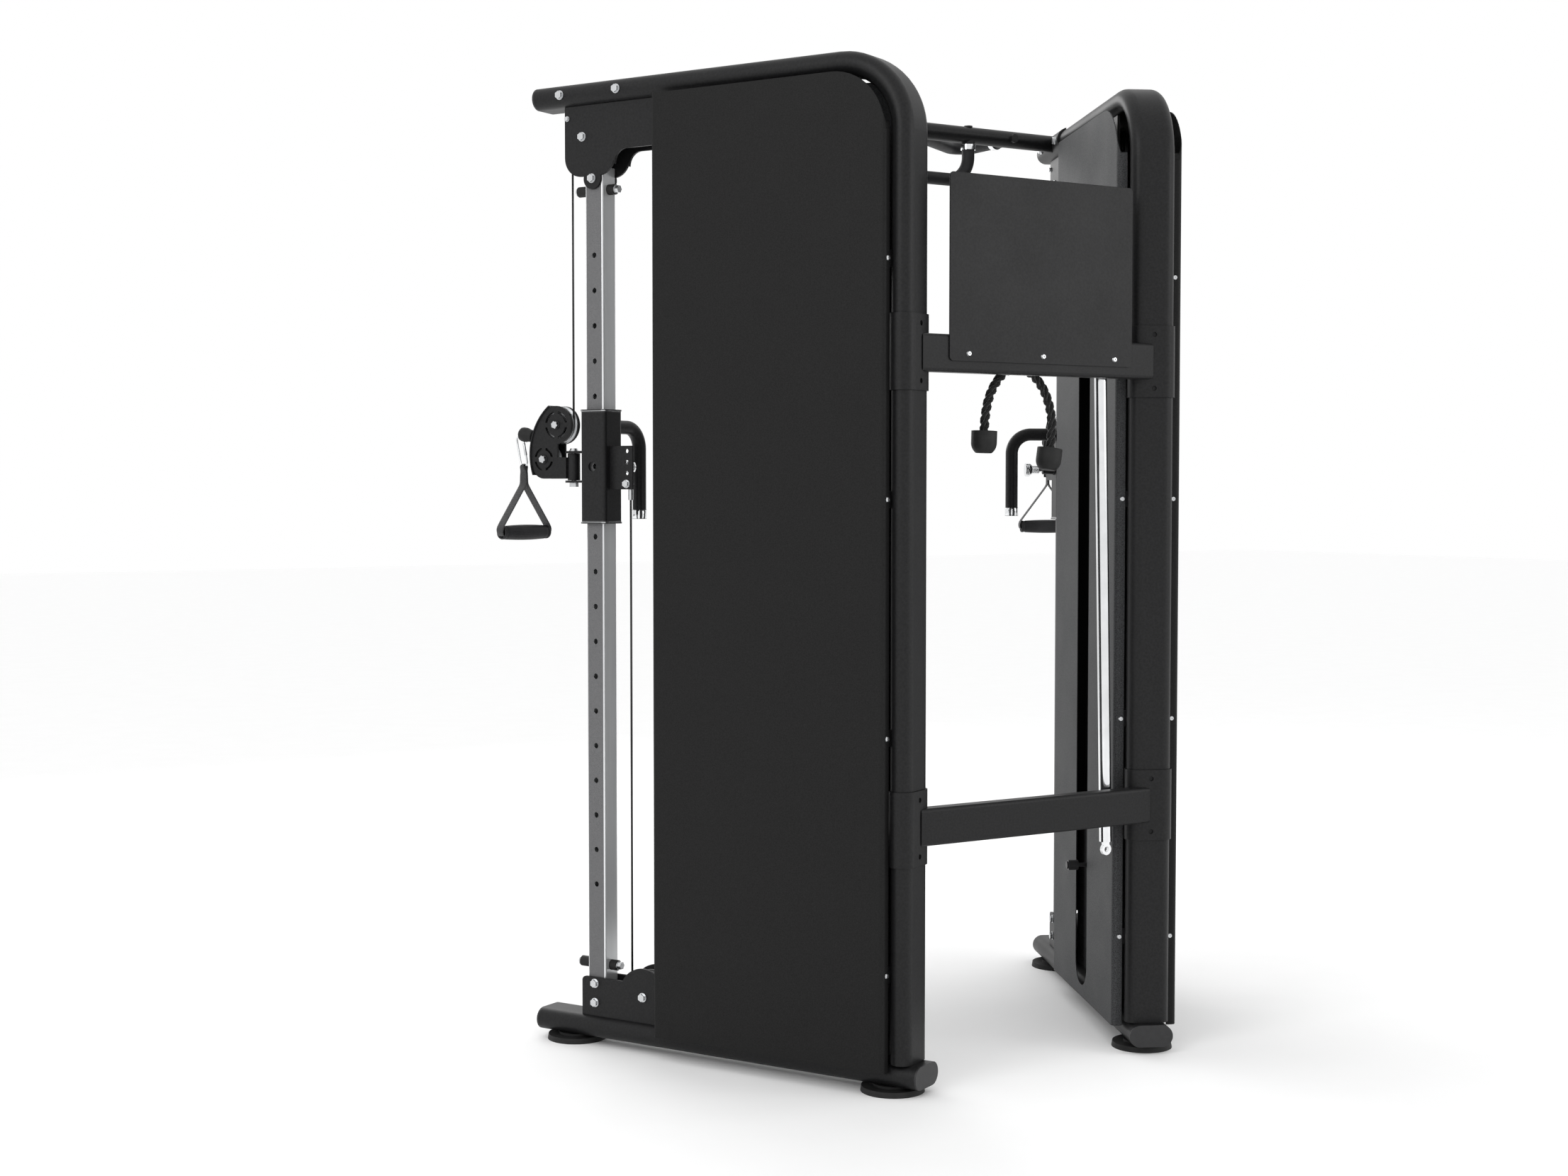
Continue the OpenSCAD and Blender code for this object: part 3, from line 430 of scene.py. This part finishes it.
def twisted(name, color):
    """Rope yarn: fine fibres and a few pale frayed hairs."""
    look = Look(name, color, 0.8, specular=0.25)
    look.shader.inputs["Sheen Weight"].default_value = 0.4
    look.shader.inputs["Sheen Roughness"].default_value = 0.4
    look.color(look.noise(1400, 3), 0.35, 0.8, scaled(color, 0.5), scaled(color, 2.2))
    look.bump(look.noise(900, 3), 0.6, 0.0005)
    return look.material


LOOKS = {
    "frame_paint": powder_coat("frame_paint", (0.009, 0.009, 0.0095), 0.42, 420, bump=0.15,
                               specular=0.22),
    "shroud_paint": powder_coat("shroud_paint", (0.0085, 0.0085, 0.0085), 0.55, 700, bump=0.3,
                                specular=0.16),
    "inner_shroud_paint": powder_coat("inner_shroud_paint", (0.040, 0.041, 0.043), 0.6, 900,
                                      bump=0.4, specular=0.25, contrast=0.6),
    "plate_paint": powder_coat("plate_paint", (0.010, 0.010, 0.011), 0.6, 300, bump=0.5,
                               specular=0.25),
    "column_metal": column_plating("column_metal"),
    "zinc_metal": bright_metal("zinc_metal", (0.60, 0.61, 0.62), 0.28, streak=(1, 1, 1)),
    "chrome_metal": bright_metal("chrome_metal", (0.80, 0.81, 0.82), 0.10),
    "black_rubber": rubber("black_rubber", (0.010, 0.010, 0.010), 0.62),
    "grip_rubber": rubber("grip_rubber", (0.011, 0.011, 0.012), 0.55, grain=900, bump=0.5),
    "black_plastic": plastic("black_plastic", (0.014, 0.014, 0.015), 0.38),
    "cap_plastic": plastic("cap_plastic", (0.016, 0.016, 0.017), 0.45),
    "rope_nylon": twisted("rope_nylon", (0.010, 0.010, 0.010)),
    "cable_jacket": plastic("cable_jacket", (0.010, 0.010, 0.010), 0.3),
}


def grooved_wheel(name, centre, axis, groove):
    """Black nylon wheel whose groove the cable has rubbed to a dull silver."""
    look = Look(name, (0.012, 0.012, 0.012), 0.4, specular=0.4)
    away = look.nodes.new("ShaderNodeVectorMath")
    away.operation = "SUBTRACT"
    away.inputs[1].default_value = centre
    look.links.new(look.coordinates, away.inputs[0])
    along = look.nodes.new("ShaderNodeVectorMath")
    along.operation = "DOT_PRODUCT"
    along.inputs[1].default_value = axis
    look.links.new(away.outputs["Vector"], along.inputs[0])
    depth = look.nodes.new("ShaderNodeMath")
    depth.operation = "ABSOLUTE"
    look.links.new(along.outputs["Value"], depth.inputs[0])
    inside = look.nodes.new("ShaderNodeMath")
    inside.operation = "LESS_THAN"
    inside.inputs[1].default_value = groove
    look.links.new(depth.outputs[0], inside.inputs[0])
    look.color(inside.outputs[0], 0.4, 0.6, (0.012, 0.012, 0.012), (0.46, 0.47, 0.48))
    look.links.new(inside.outputs[0], look.shader.inputs["Metallic"])
    look.bump(look.noise(500, 2), 0.1, 0.0003)
    return look.material


def dress_frame():
    slots = {s["node"]: s["material_slot"] for s in frame["record"]["subparts"]}
    for node, obj in frame["nodes"].items():
        slot = slots[node]
        if slot in LOOKS:
            dress(obj, LOOKS[slot])


dress_frame()


# ---------- triceps rope ----------


def strand_rope(name, path, diameter, lay):
    """Three strands laid round each other along the path, each of three smaller yarns."""
    plane = Vector((0, 1, 0))
    strand_r = diameter / 2 / (1 + 2 / math.sqrt(3))
    offset = diameter / 2 - strand_r
    verts, faces = [], []
    travelled = [0.0]
    for a, b in zip(path, path[1:]):
        travelled.append(travelled[-1] + (b - a).length)
    sides = 15
    for strand in range(3):
        base = len(verts)
        for p, t, s in zip(path, tangents(path), travelled):
            side = plane.cross(t).normalized()
            turn = 2 * math.pi * (s / lay + strand / 3)
            radial = side * math.cos(turn) + plane * math.sin(turn)
            across = t.cross(radial)
            middle = p + radial * offset
            for k in range(sides):
                a = 2 * math.pi * k / sides
                yarn = 1 + 0.07 * math.cos(3 * a - 4 * turn)
                verts.append(middle + (radial * math.cos(a) + across * math.sin(a))
                             * strand_r * yarn)
        for i in range(len(path) - 1):
            for k in range(sides):
                n = (k + 1) % sides
                faces.append((base + i * sides + k, base + i * sides + n,
                              base + (i + 1) * sides + n, base + (i + 1) * sides + k))
        faces.append(tuple(base + k for k in range(sides))[::-1])
        faces.append(tuple(base + (len(path) - 1) * sides + k for k in range(sides)))
    return mesh_object(name, verts, faces)


def make_rope():
    for leg, points in ROPE_LEGS.items():
        path = smooth_path([Vector((x, ROPE_Y, z)) for x, z in points], 24)
        rope = strand_rope("rope_leg_" + leg, path, ROPE_D, 0.058)
        finish_piece(rope, "frame", LOOKS["rope_nylon"], ["triceps_rope"])


make_rope()


# ---------- steel cables ----------


def arc(tower, centre, radius, start, end, steps=14):
    """Points round a wheel, with angles in degrees from the tower's back towards up."""
    angles = [math.radians(start + (end - start) * k / steps) for k in range(steps + 1)]
    return [tower.at(centre, back=radius * math.cos(a), up=radius * math.sin(a))
            for a in angles]


def cable_piece(tower, name, path, bodies):
    piece = tube(f"{name}_{tower.side}", path, CABLE_D, tower.out, sides=14)
    dress(piece, LOOKS["cable_jacket"])
    if len(bodies) == 1:
        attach(piece, bodies[0])
    else:
        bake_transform(piece)
    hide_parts("cable_" + tower.side)


def make_cable(tower):
    arm, carriage = tower.body("arm_body"), tower.body("carriage_body")
    stack, handle = tower.body("stack_body"), tower.body("handle_body")
    upper, front = tower.joint("upper_wheel_spin"), tower.joint("front_pulley_spin")
    rear, lifted = tower.joint("rear_pulley_spin"), tower.joint("stack_pulley_spin")
    back, low = tower.joint("return_pulley_spin"), tower.joint("low_pulley_spin")

    leave = 270 - math.degrees(EXIT_RISE)
    over_arm = arc(tower, upper, ARM_WRAP, leave, 360)
    pull = Vector(tower.joints["handle_pull_" + tower.side]["axis"])
    cable_piece(tower, "cable_to_ball", [over_arm[0], over_arm[0] + pull * (BALL_START + 0.012)],
                (arm, handle))
    cable_piece(tower, "cable_round_arm", over_arm, (arm,))
    top = arc(tower, front, FRAME_WRAP, 180, 90) + arc(tower, rear, FRAME_WRAP, 90, 0)
    cable_piece(tower, "cable_riser", [over_arm[-1], top[0]], (carriage, "frame"))
    cable_piece(tower, "cable_over_top", top, ("frame",))
    under = arc(tower, lifted, FRAME_WRAP, 0, -180, steps=24)
    cable_piece(tower, "cable_drop", [top[-1], under[0]], ("frame", stack))
    cable_piece(tower, "cable_under_stack", under, (stack,))

    span = low - back
    run, drop = span.dot(tower.back), span.z
    heading = math.degrees(math.atan2(drop, run)) % 360
    turn_off = heading - math.degrees(math.acos(2 * FRAME_WRAP / math.hypot(run, drop)))
    returning = (arc(tower, back, FRAME_WRAP, 0, turn_off, steps=24)
                 + arc(tower, low, FRAME_WRAP, turn_off - 180, -180, steps=24))
    cable_piece(tower, "cable_return", returning, ("frame",))
    cable_piece(tower, "cable_rise_to_stack", [under[-1], returning[0]], (stack, "frame"))
    terminal = returning[-1].copy()
    terminal.z = tower.swivel.z - TERMINAL_DEPTH
    cable_piece(tower, "cable_to_carriage", [returning[-1], terminal], ("frame", carriage))


for tower in TOWERS.values():
    make_cable(tower)


# ---------- stirrup handles ----------


class Hang:
    """Frame of a hanging stirrup: across the grip, through it, and up from the swivel."""

    def __init__(self, tower):
        twist = Matrix.Rotation(RIGHT_TWIST if tower.side == "right" else 0.0, 3, "Z")
        self.origin = tower.at(tower.swivel, back=-HANG)
        self.across = twist @ tower.out
        self.through = twist @ tower.back

    def at(self, across, through, up):
        return self.origin + self.across * across + self.through * through + UP * up


def ribbon(name, hang, line, half_widths, thickness):
    """Webbing along a closed line of (across, up) points, with soft rounded edges."""
    count = len(line)
    rings = []
    for i, ((x, z), half) in enumerate(zip(line, half_widths)):
        before, after = line[i - 1], line[(i + 1) % count]
        slope = Vector((after[0] - before[0], after[1] - before[1])).normalized()
        normal = Vector((-slope.y, slope.x))
        ring = []
        for across, lift in ((-1, 0), (-0.93, 0.5), (0, 0.42), (0.93, 0.5), (1, 0),
                             (0.93, -0.5), (0, -0.42), (-0.93, -0.5)):
            p = Vector((x, z)) + normal * lift * thickness
            ring.append(hang.at(p.x, across * half, p.y))
        rings.append(ring)
    size = len(rings[0])
    faces = []
    for i in range(count):
        nxt = (i + 1) % count
        for k in range(size):
            n = (k + 1) % size
            faces.append((i * size + k, i * size + n, nxt * size + n, nxt * size + k))
    return mesh_object(name, [v for ring in rings for v in ring], faces)


def strap_line():
    """Half of the webbing from the loop's top down one side, with its half width at each point."""
    loop = 0.0064
    half = []
    for k in range(7):
        a = math.radians(90 - 22 * k)
        half.append((loop * math.cos(a), LOOP_Z + loop * math.sin(a), 0.0045 + 0.0006 * k))
    end = GRIP_L / 2 + 0.0035
    half += [(0.0016, LOOP_Z - 0.011, 0.0105), (0.0014, LOOP_Z - 0.020, 0.0125),
             (0.0014, LOOP_Z - 0.036, 0.0125), (0.0028, LOOP_Z - 0.042, 0.0125)]
    top, bottom = (0.0028, LOOP_Z - 0.042), (end, GRIP_Z + 0.012)
    half += [(top[0] + (bottom[0] - top[0]) * k / 8,
              top[1] + (bottom[1] - top[1]) * k / 8, 0.0125) for k in range(1, 9)]
    half += [(end + 0.001, GRIP_Z + 0.004, 0.0120), (end, GRIP_Z - 0.004, 0.0100),
             (end - 0.005, GRIP_Z - 0.0078, 0.0082), (end - 0.012, GRIP_Z - 0.0084, 0.0075)]
    return half


def make_strap(tower, hang):
    half = strap_line()
    mirrored = [(-x, z, w) for x, z, w in half[:0:-1]]
    whole = half + mirrored
    strap = ribbon("webbing_" + tower.side, hang, [(x, z) for x, z, _ in whole],
                   [w for _, _, w in whole], 0.0022)
    rounder = strap.modifiers.new("round", "SUBSURF")
    rounder.levels = rounder.render_levels = 1
    material = woven("webbing_" + tower.side, (0.013, 0.013, 0.014), hang.through, 0.0016)
    finish_piece(strap, tower.body("handle_body"), material,
                 ["handle_strap_" + tower.side])
    return strap


def make_stitches(tower, hang):
    """Rows of thread that close the webbing's neck."""
    verts, faces = [], []
    for row in (-0.009, -0.0045, 0.0045, 0.009):
        for step in range(7):
            top = LOOP_Z - 0.019 - 0.0024 * step
            for face in (-1, 1):
                base = len(verts)
                for dz, out in ((0, 0.0025), (-0.0005, 0.0030), (-0.0012, 0.0030),
                                (-0.0017, 0.0025)):
                    for w in (-0.0003, 0.0003):
                        verts.append(hang.at(face * out, row + w, top + dz))
                for k in range(3):
                    a = base + 2 * k
                    faces.append((a, a + 1, a + 3, a + 2))
                faces.append((base, base + 2, base + 4, base + 6))
                faces.append((base + 1, base + 7, base + 5, base + 3))
                faces.append((base, base + 6, base + 7, base + 1))
    stitches = mesh_object("stitches_" + tower.side, verts, faces)
    finish_piece(stitches, tower.body("handle_body"), THREAD)


def make_grip(tower, hang):
    """Rubber grip, fuller in the middle, with flared lips and a fluted hand area."""
    half = GRIP_L / 2
    profile = [(-half + 0.001, 0.0120), (-half, 0.0128), (-half, 0.0148),
               (-half + 0.002, 0.0158), (-half + 0.006, 0.0158), (-half + 0.008, 0.0148),
               (-half + 0.010, 0.0152)]
    for k in range(25):
        along = -half + 0.012 + (2 * half - 0.024) * k / 24
        profile.append((along, 0.0154 + 0.0026 * math.cos(along / half * math.pi / 2)))
    profile += [(-along, radius) for along, radius in profile[6::-1]]
    profile += [(half - 0.001, 0.0115), (-half + 0.001, 0.0115), profile[0]]
    grip = lathe("grip_" + tower.side, profile, hang.at(0, 0, GRIP_Z), hang.across, sides=120,
                 flutes=30, depth=0.0005, fluted=(-half + 0.016, half - 0.016))
    finish_piece(grip, tower.body("handle_body"), LOOKS["grip_rubber"],
                 ["handle_grip_" + tower.side])


def closed_tube(name, points, diameter, normal, sides=16):
    """Ring of round wire along a closed line in the plane across normal."""
    count = len(points)
    verts, faces = [], []
    for i, p in enumerate(points):
        ahead = (points[(i + 1) % count] - points[i - 1]).normalized()
        side = normal.cross(ahead).normalized()
        for k in range(sides):
            a = 2 * math.pi * k / sides
            verts.append(p + (side * math.cos(a) + normal * math.sin(a)) * diameter / 2)
            faces.append((i * sides + k, i * sides + (k + 1) % sides,
                          (i + 1) % count * sides + (k + 1) % sides,
                          (i + 1) % count * sides + k))
    return mesh_object(name, verts, faces)


def make_ball_stop(tower):
    """Rubber stop that meets the arm, with the swaged terminal and its nut."""
    pull = Vector(tower.joints["handle_pull_" + tower.side]["axis"])
    leave = 270 - math.degrees(EXIT_RISE)
    start = arc(tower, tower.joint("upper_wheel_spin"), ARM_WRAP, leave, leave, 1)[0]
    start = start + pull * BALL_START
    profile = [(0.0, 0.0032), (0.0, 0.0120), (0.0012, 0.0134), (0.0040, 0.0142),
               (0.0130, 0.0146), (0.0165, 0.0158), (0.0195, 0.0167), (0.0240, 0.0170),
               (0.0300, 0.0168), (0.0345, 0.0156), (0.0368, 0.0134), (0.0379, 0.0100),
               (0.0380, 0.0052)]
    ball = lathe("ball_stop_" + tower.side, profile, start, pull)
    finish_piece(ball, tower.body("handle_body"), LOOKS["black_rubber"],
                 ["cable_end_" + tower.side])
    profile = [(0.0370, 0.0050), (0.0385, 0.0062), (0.0400, 0.0062), (0.0405, 0.0048),
               (0.0438, 0.0045), (0.0444, 0.0036), (0.0446, 0.0010)]
    neck = lathe("terminal_" + tower.side, profile, start, pull, sides=48)
    finish_piece(neck, tower.body("handle_body"), LOOKS["zinc_metal"])


def make_hook(tower, hang):
    """Oval snap hook with a sprung gate on the side towards the column."""
    lean = math.radians(12)
    radius, straight = 0.0095, 0.054

    def at(y, z):
        return (hang.origin + tower.back * (y * math.cos(lean) - z * math.sin(lean))
                + UP * (HOOK_Z + y * math.sin(lean) + z * math.cos(lean)))

    line = []
    for middle, first in ((straight, 0), (0.0, 180)):
        for k in range(17):
            a = math.radians(first + 180 * k / 16)
            line.append(at(radius * math.cos(a), middle + radius * math.sin(a)))
    hook = closed_tube("snap_hook_" + tower.side, line, 0.005, tower.out)
    finish_piece(hook, tower.body("handle_body"), LOOKS["chrome_metal"])
    profile = [(0.0, 0.0024), (0.0, 0.0030), (0.0010, 0.0033), (0.0280, 0.0033),
               (0.0290, 0.0030), (0.0290, 0.0024)]
    gate = lathe("hook_gate_" + tower.side, profile, at(radius, 0.014),
                 at(radius, 1.0) - at(radius, 0.0), sides=32)
    finish_piece(gate, tower.body("handle_body"), LOOKS["zinc_metal"])


THREAD = twisted("stitch_thread", (0.05, 0.05, 0.052))

for tower in TOWERS.values():
    hanging = Hang(tower)
    make_strap(tower, hanging)
    make_stitches(tower, hanging)
    make_grip(tower, hanging)
    make_ball_stop(tower)
    make_hook(tower, hanging)


# ---------- plated and turned details ----------


def make_handle_cap(tower):
    """Polished sleeve on the lower end of the carriage handle."""
    low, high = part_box("grip_handle_" + tower.side)
    column = tower.at(tower.swivel, back=0.079)
    centre = tower.at(column, out=-0.148)
    centre.z = low.z
    radius = 0.0171
    profile = [(-0.0004, 0.012), (-0.0004, radius - 0.001), (0.0008, radius),
               (0.0205, radius), (0.0215, radius - 0.0005), (0.0222, radius - 0.0012),
               (0.0222, 0.0155)]
    cap = lathe("handle_cap_" + tower.side, profile, centre, UP)
    finish_piece(cap, tower.body("carriage_body"), LOOKS["chrome_metal"])


def make_knob(tower):
    """Ribbed neck and domed mushroom head of the pop pin."""
    base = tower.at(tower.swivel, out=-0.076, back=0.079)
    profile = [(0.0, 0.008), (0.0, 0.0102)]
    for k in range(6):
        start = 0.001 + 0.0031 * k
        profile += [(start, 0.0102), (start + 0.0008, 0.0108), (start + 0.0018, 0.0108),
                    (start + 0.0026, 0.0102)]
    profile += [(0.0205, 0.0125), (0.0250, 0.0160), (0.0275, 0.0172), (0.0320, 0.0174),
                (0.0345, 0.0165), (0.0358, 0.0140), (0.0363, 0.0090), (0.0364, 0.0030)]
    knob = lathe("pop_knob_" + tower.side, profile, base, -tower.out)
    finish_piece(knob, tower.body("pop_pin_body"), LOOKS["chrome_metal"])


def torus(name, centre, axis, major, minor, lumps=0):
    """Weld bead or ring; lumps gives the rippled look of a weld."""
    axis = axis.normalized()
    one = axis.orthogonal().normalized()
    two = axis.cross(one)
    rings, around, sides = [], max(72, lumps * 4), 10
    for i in range(around):
        a = 2 * math.pi * i / around
        radial = one * math.cos(a) + two * math.sin(a)
        r = minor * (1 + (0.16 * math.sin(lumps * a) if lumps else 0))
        rings.append([centre + radial * (major + r * math.cos(b)) + axis * r * math.sin(b)
                      for b in (2 * math.pi * k / sides for k in range(sides))])
    faces = [(i * sides + k, i * sides + (k + 1) % sides,
              (i + 1) % around * sides + (k + 1) % sides, (i + 1) % around * sides + k)
             for i in range(around) for k in range(sides)]
    return mesh_object(name, [v for ring in rings for v in ring], faces)


def rounded_square(side, radius, steps=8):
    """Points round a square with round corners, anticlockwise."""
    inner = side / 2 - radius
    made = []
    for corner, (sx, sy) in enumerate(((1, 1), (-1, 1), (-1, -1), (1, -1))):
        for k in range(steps + 1):
            a = math.radians(90 * corner + 90 * k / steps)
            made.append((sx * inner + radius * math.cos(a), sy * inner + radius * math.sin(a)))
    return made


def make_lips(tower):
    """Flared black lips of the carriage's bushes, top and bottom."""
    half = 0.126
    for name, sign in (("lip_top", 1), ("lip_bottom", -1)):
        rings = []
        for up, side, radius in ((-0.003, 0.0702, 0.0101), (0.0002, 0.0706, 0.0103),
                                 (0.0010, 0.0730, 0.0112), (0.0035, 0.0736, 0.0116),
                                 (0.0042, 0.0728, 0.0112), (0.0043, 0.0515, 0.0052),
                                 (0.0035, 0.0509, 0.0050), (-0.003, 0.0509, 0.0050)):
            rings.append([tower.at(tower.swivel, out=x, back=0.079 + y,
                                   up=sign * (half + up))
                          for x, y in rounded_square(side, radius)])
        lip = rings_to_mesh(f"{name}_{tower.side}", rings, closed_ends=False)
        finish_piece(lip, tower.body("carriage_body"), LOOKS["black_plastic"])


def make_welds(tower):
    """Beads where the carriage handle and the pin barrel meet the sleeve."""
    for name, up, major in (("handle_weld", 0.092, 0.0162), ("barrel_weld", 0.0, 0.0122)):
        centre = tower.at(tower.swivel, out=-0.0358, back=0.079, up=up)
        bead = torus(f"{name}_{tower.side}", centre, tower.out, major, 0.0018, lumps=26)
        finish_piece(bead, tower.body("carriage_body"), LOOKS["frame_paint"])


def make_front_cover(tower):
    """Folded sheet that closes the space between the two shrouds towards the column."""
    column = tower.at(tower.swivel, back=0.079)
    front = tower.at(column, back=COVER_BACK)
    half, sheet, fold = 0.0558, 0.0015, 0.012
    outline = [(-half, fold), (-half, 0.001), (-half + 0.001, 0.0), (half - 0.001, 0.0),
               (half, 0.001), (half, fold), (half - sheet, fold), (half - sheet, sheet),
               (-half + sheet, sheet), (-half + sheet, fold)]
    rings = []
    for z in (0.205, 1.925):
        ring = [tower.at(front, out=x, back=y) for x, y in outline]
        for point in ring:
            point.z = z
        rings.append(ring)
    cover = rings_to_mesh("front_cover_" + tower.side, rings)
    for polygon in cover.data.polygons:
        polygon.use_smooth = False
    finish_piece(cover, "frame", LOOKS["shroud_paint"])


def make_axle_heads(tower, wheel, centre):
    """Bright domed hexagons over both ends of an arm pulley's axle."""
    for name, way in (("outer", 1), ("inner", -1)):
        face = tower.at(centre, out=way * AXLE_FACE)
        washer = lathe(f"axle_washer_{wheel}_{name}_{tower.side}",
                       [(0.0, 0.004), (0.0, 0.0108), (0.0016, 0.0108), (0.0022, 0.0102),
                        (0.0022, 0.004)], face, tower.out * way, sides=48)
        finish_piece(washer, tower.body("arm_body"), LOOKS["frame_paint"])
        head = lathe(f"axle_head_{wheel}_{name}_{tower.side}",
                     [(0.0018, 0.0040), (0.0018, 0.0093), (0.0078, 0.0093),
                      (0.0088, 0.0082), (0.0090, 0.0040), (0.0089, 0.0012)],
                     face, tower.out * way, sides=6)
        for polygon in head.data.polygons:
            polygon.use_smooth = False
        finish_piece(head, tower.body("arm_body"), LOOKS["zinc_metal"])


for tower in TOWERS.values():
    make_front_cover(tower)
    make_handle_cap(tower)
    make_knob(tower)
    make_welds(tower)
    make_lips(tower)
    for wheel in ("upper", "lower"):
        centre = tower.joint(wheel + "_wheel_spin")
        look = grooved_wheel(f"{wheel}_wheel_{tower.side}", centre, tower.out, 0.0075)
        dress(frame["nodes"][f"arm_pulley_{wheel}_{tower.side}"], look)
        make_axle_heads(tower, wheel, centre)


# ---------- floor and light ----------


def make_stage():
    size = 30
    floor = mesh_object("floor", [(-size, -size, 0), (size, -size, 0), (size, size, 0),
                                  (-size, size, 0)], [(0, 1, 2, 3)], smooth=False)
    look = Look("floor", (0.98, 0.98, 0.98), 0.7, specular=0.1)
    look.color(look.noise(6, 4), 0.3, 0.7, (0.97, 0.97, 0.97), (0.985, 0.985, 0.985))
    floor.data.materials.append(look.material)
    world = bpy.data.worlds.new("studio")
    world.use_nodes = True
    world.node_tree.nodes["Background"].inputs["Color"].default_value = (1, 1, 1, 1)
    world.node_tree.nodes["Background"].inputs["Strength"].default_value = 1.0
    bpy.context.scene.world = world
    bpy.context.scene.view_settings.view_transform = "Standard"


def area_light(name, place, target, size, power):
    data = bpy.data.lights.new(name, "AREA")
    data.shape = "RECTANGLE"
    data.size, data.size_y = size
    data.energy = power
    light = bpy.data.objects.new(name, data)
    direction = Vector(target) - Vector(place)
    light.matrix_world = Matrix.Translation(place) @ direction.to_track_quat(
        "-Z", "Y").to_matrix().to_4x4()
    bpy.context.scene.collection.objects.link(light)


make_stage()
area_light("key", (4.5, 1.5, 3.6), (0, 0, 1.2), (2.0, 3.0), 50)
area_light("fill", (-3.5, 4.5, 2.6), (0, 0, 1.1), (2.5, 2.5), 40)
area_light("front", (0.0, -4.5, 3.0), (0, 0, 1.1), (3.0, 2.0), 50)
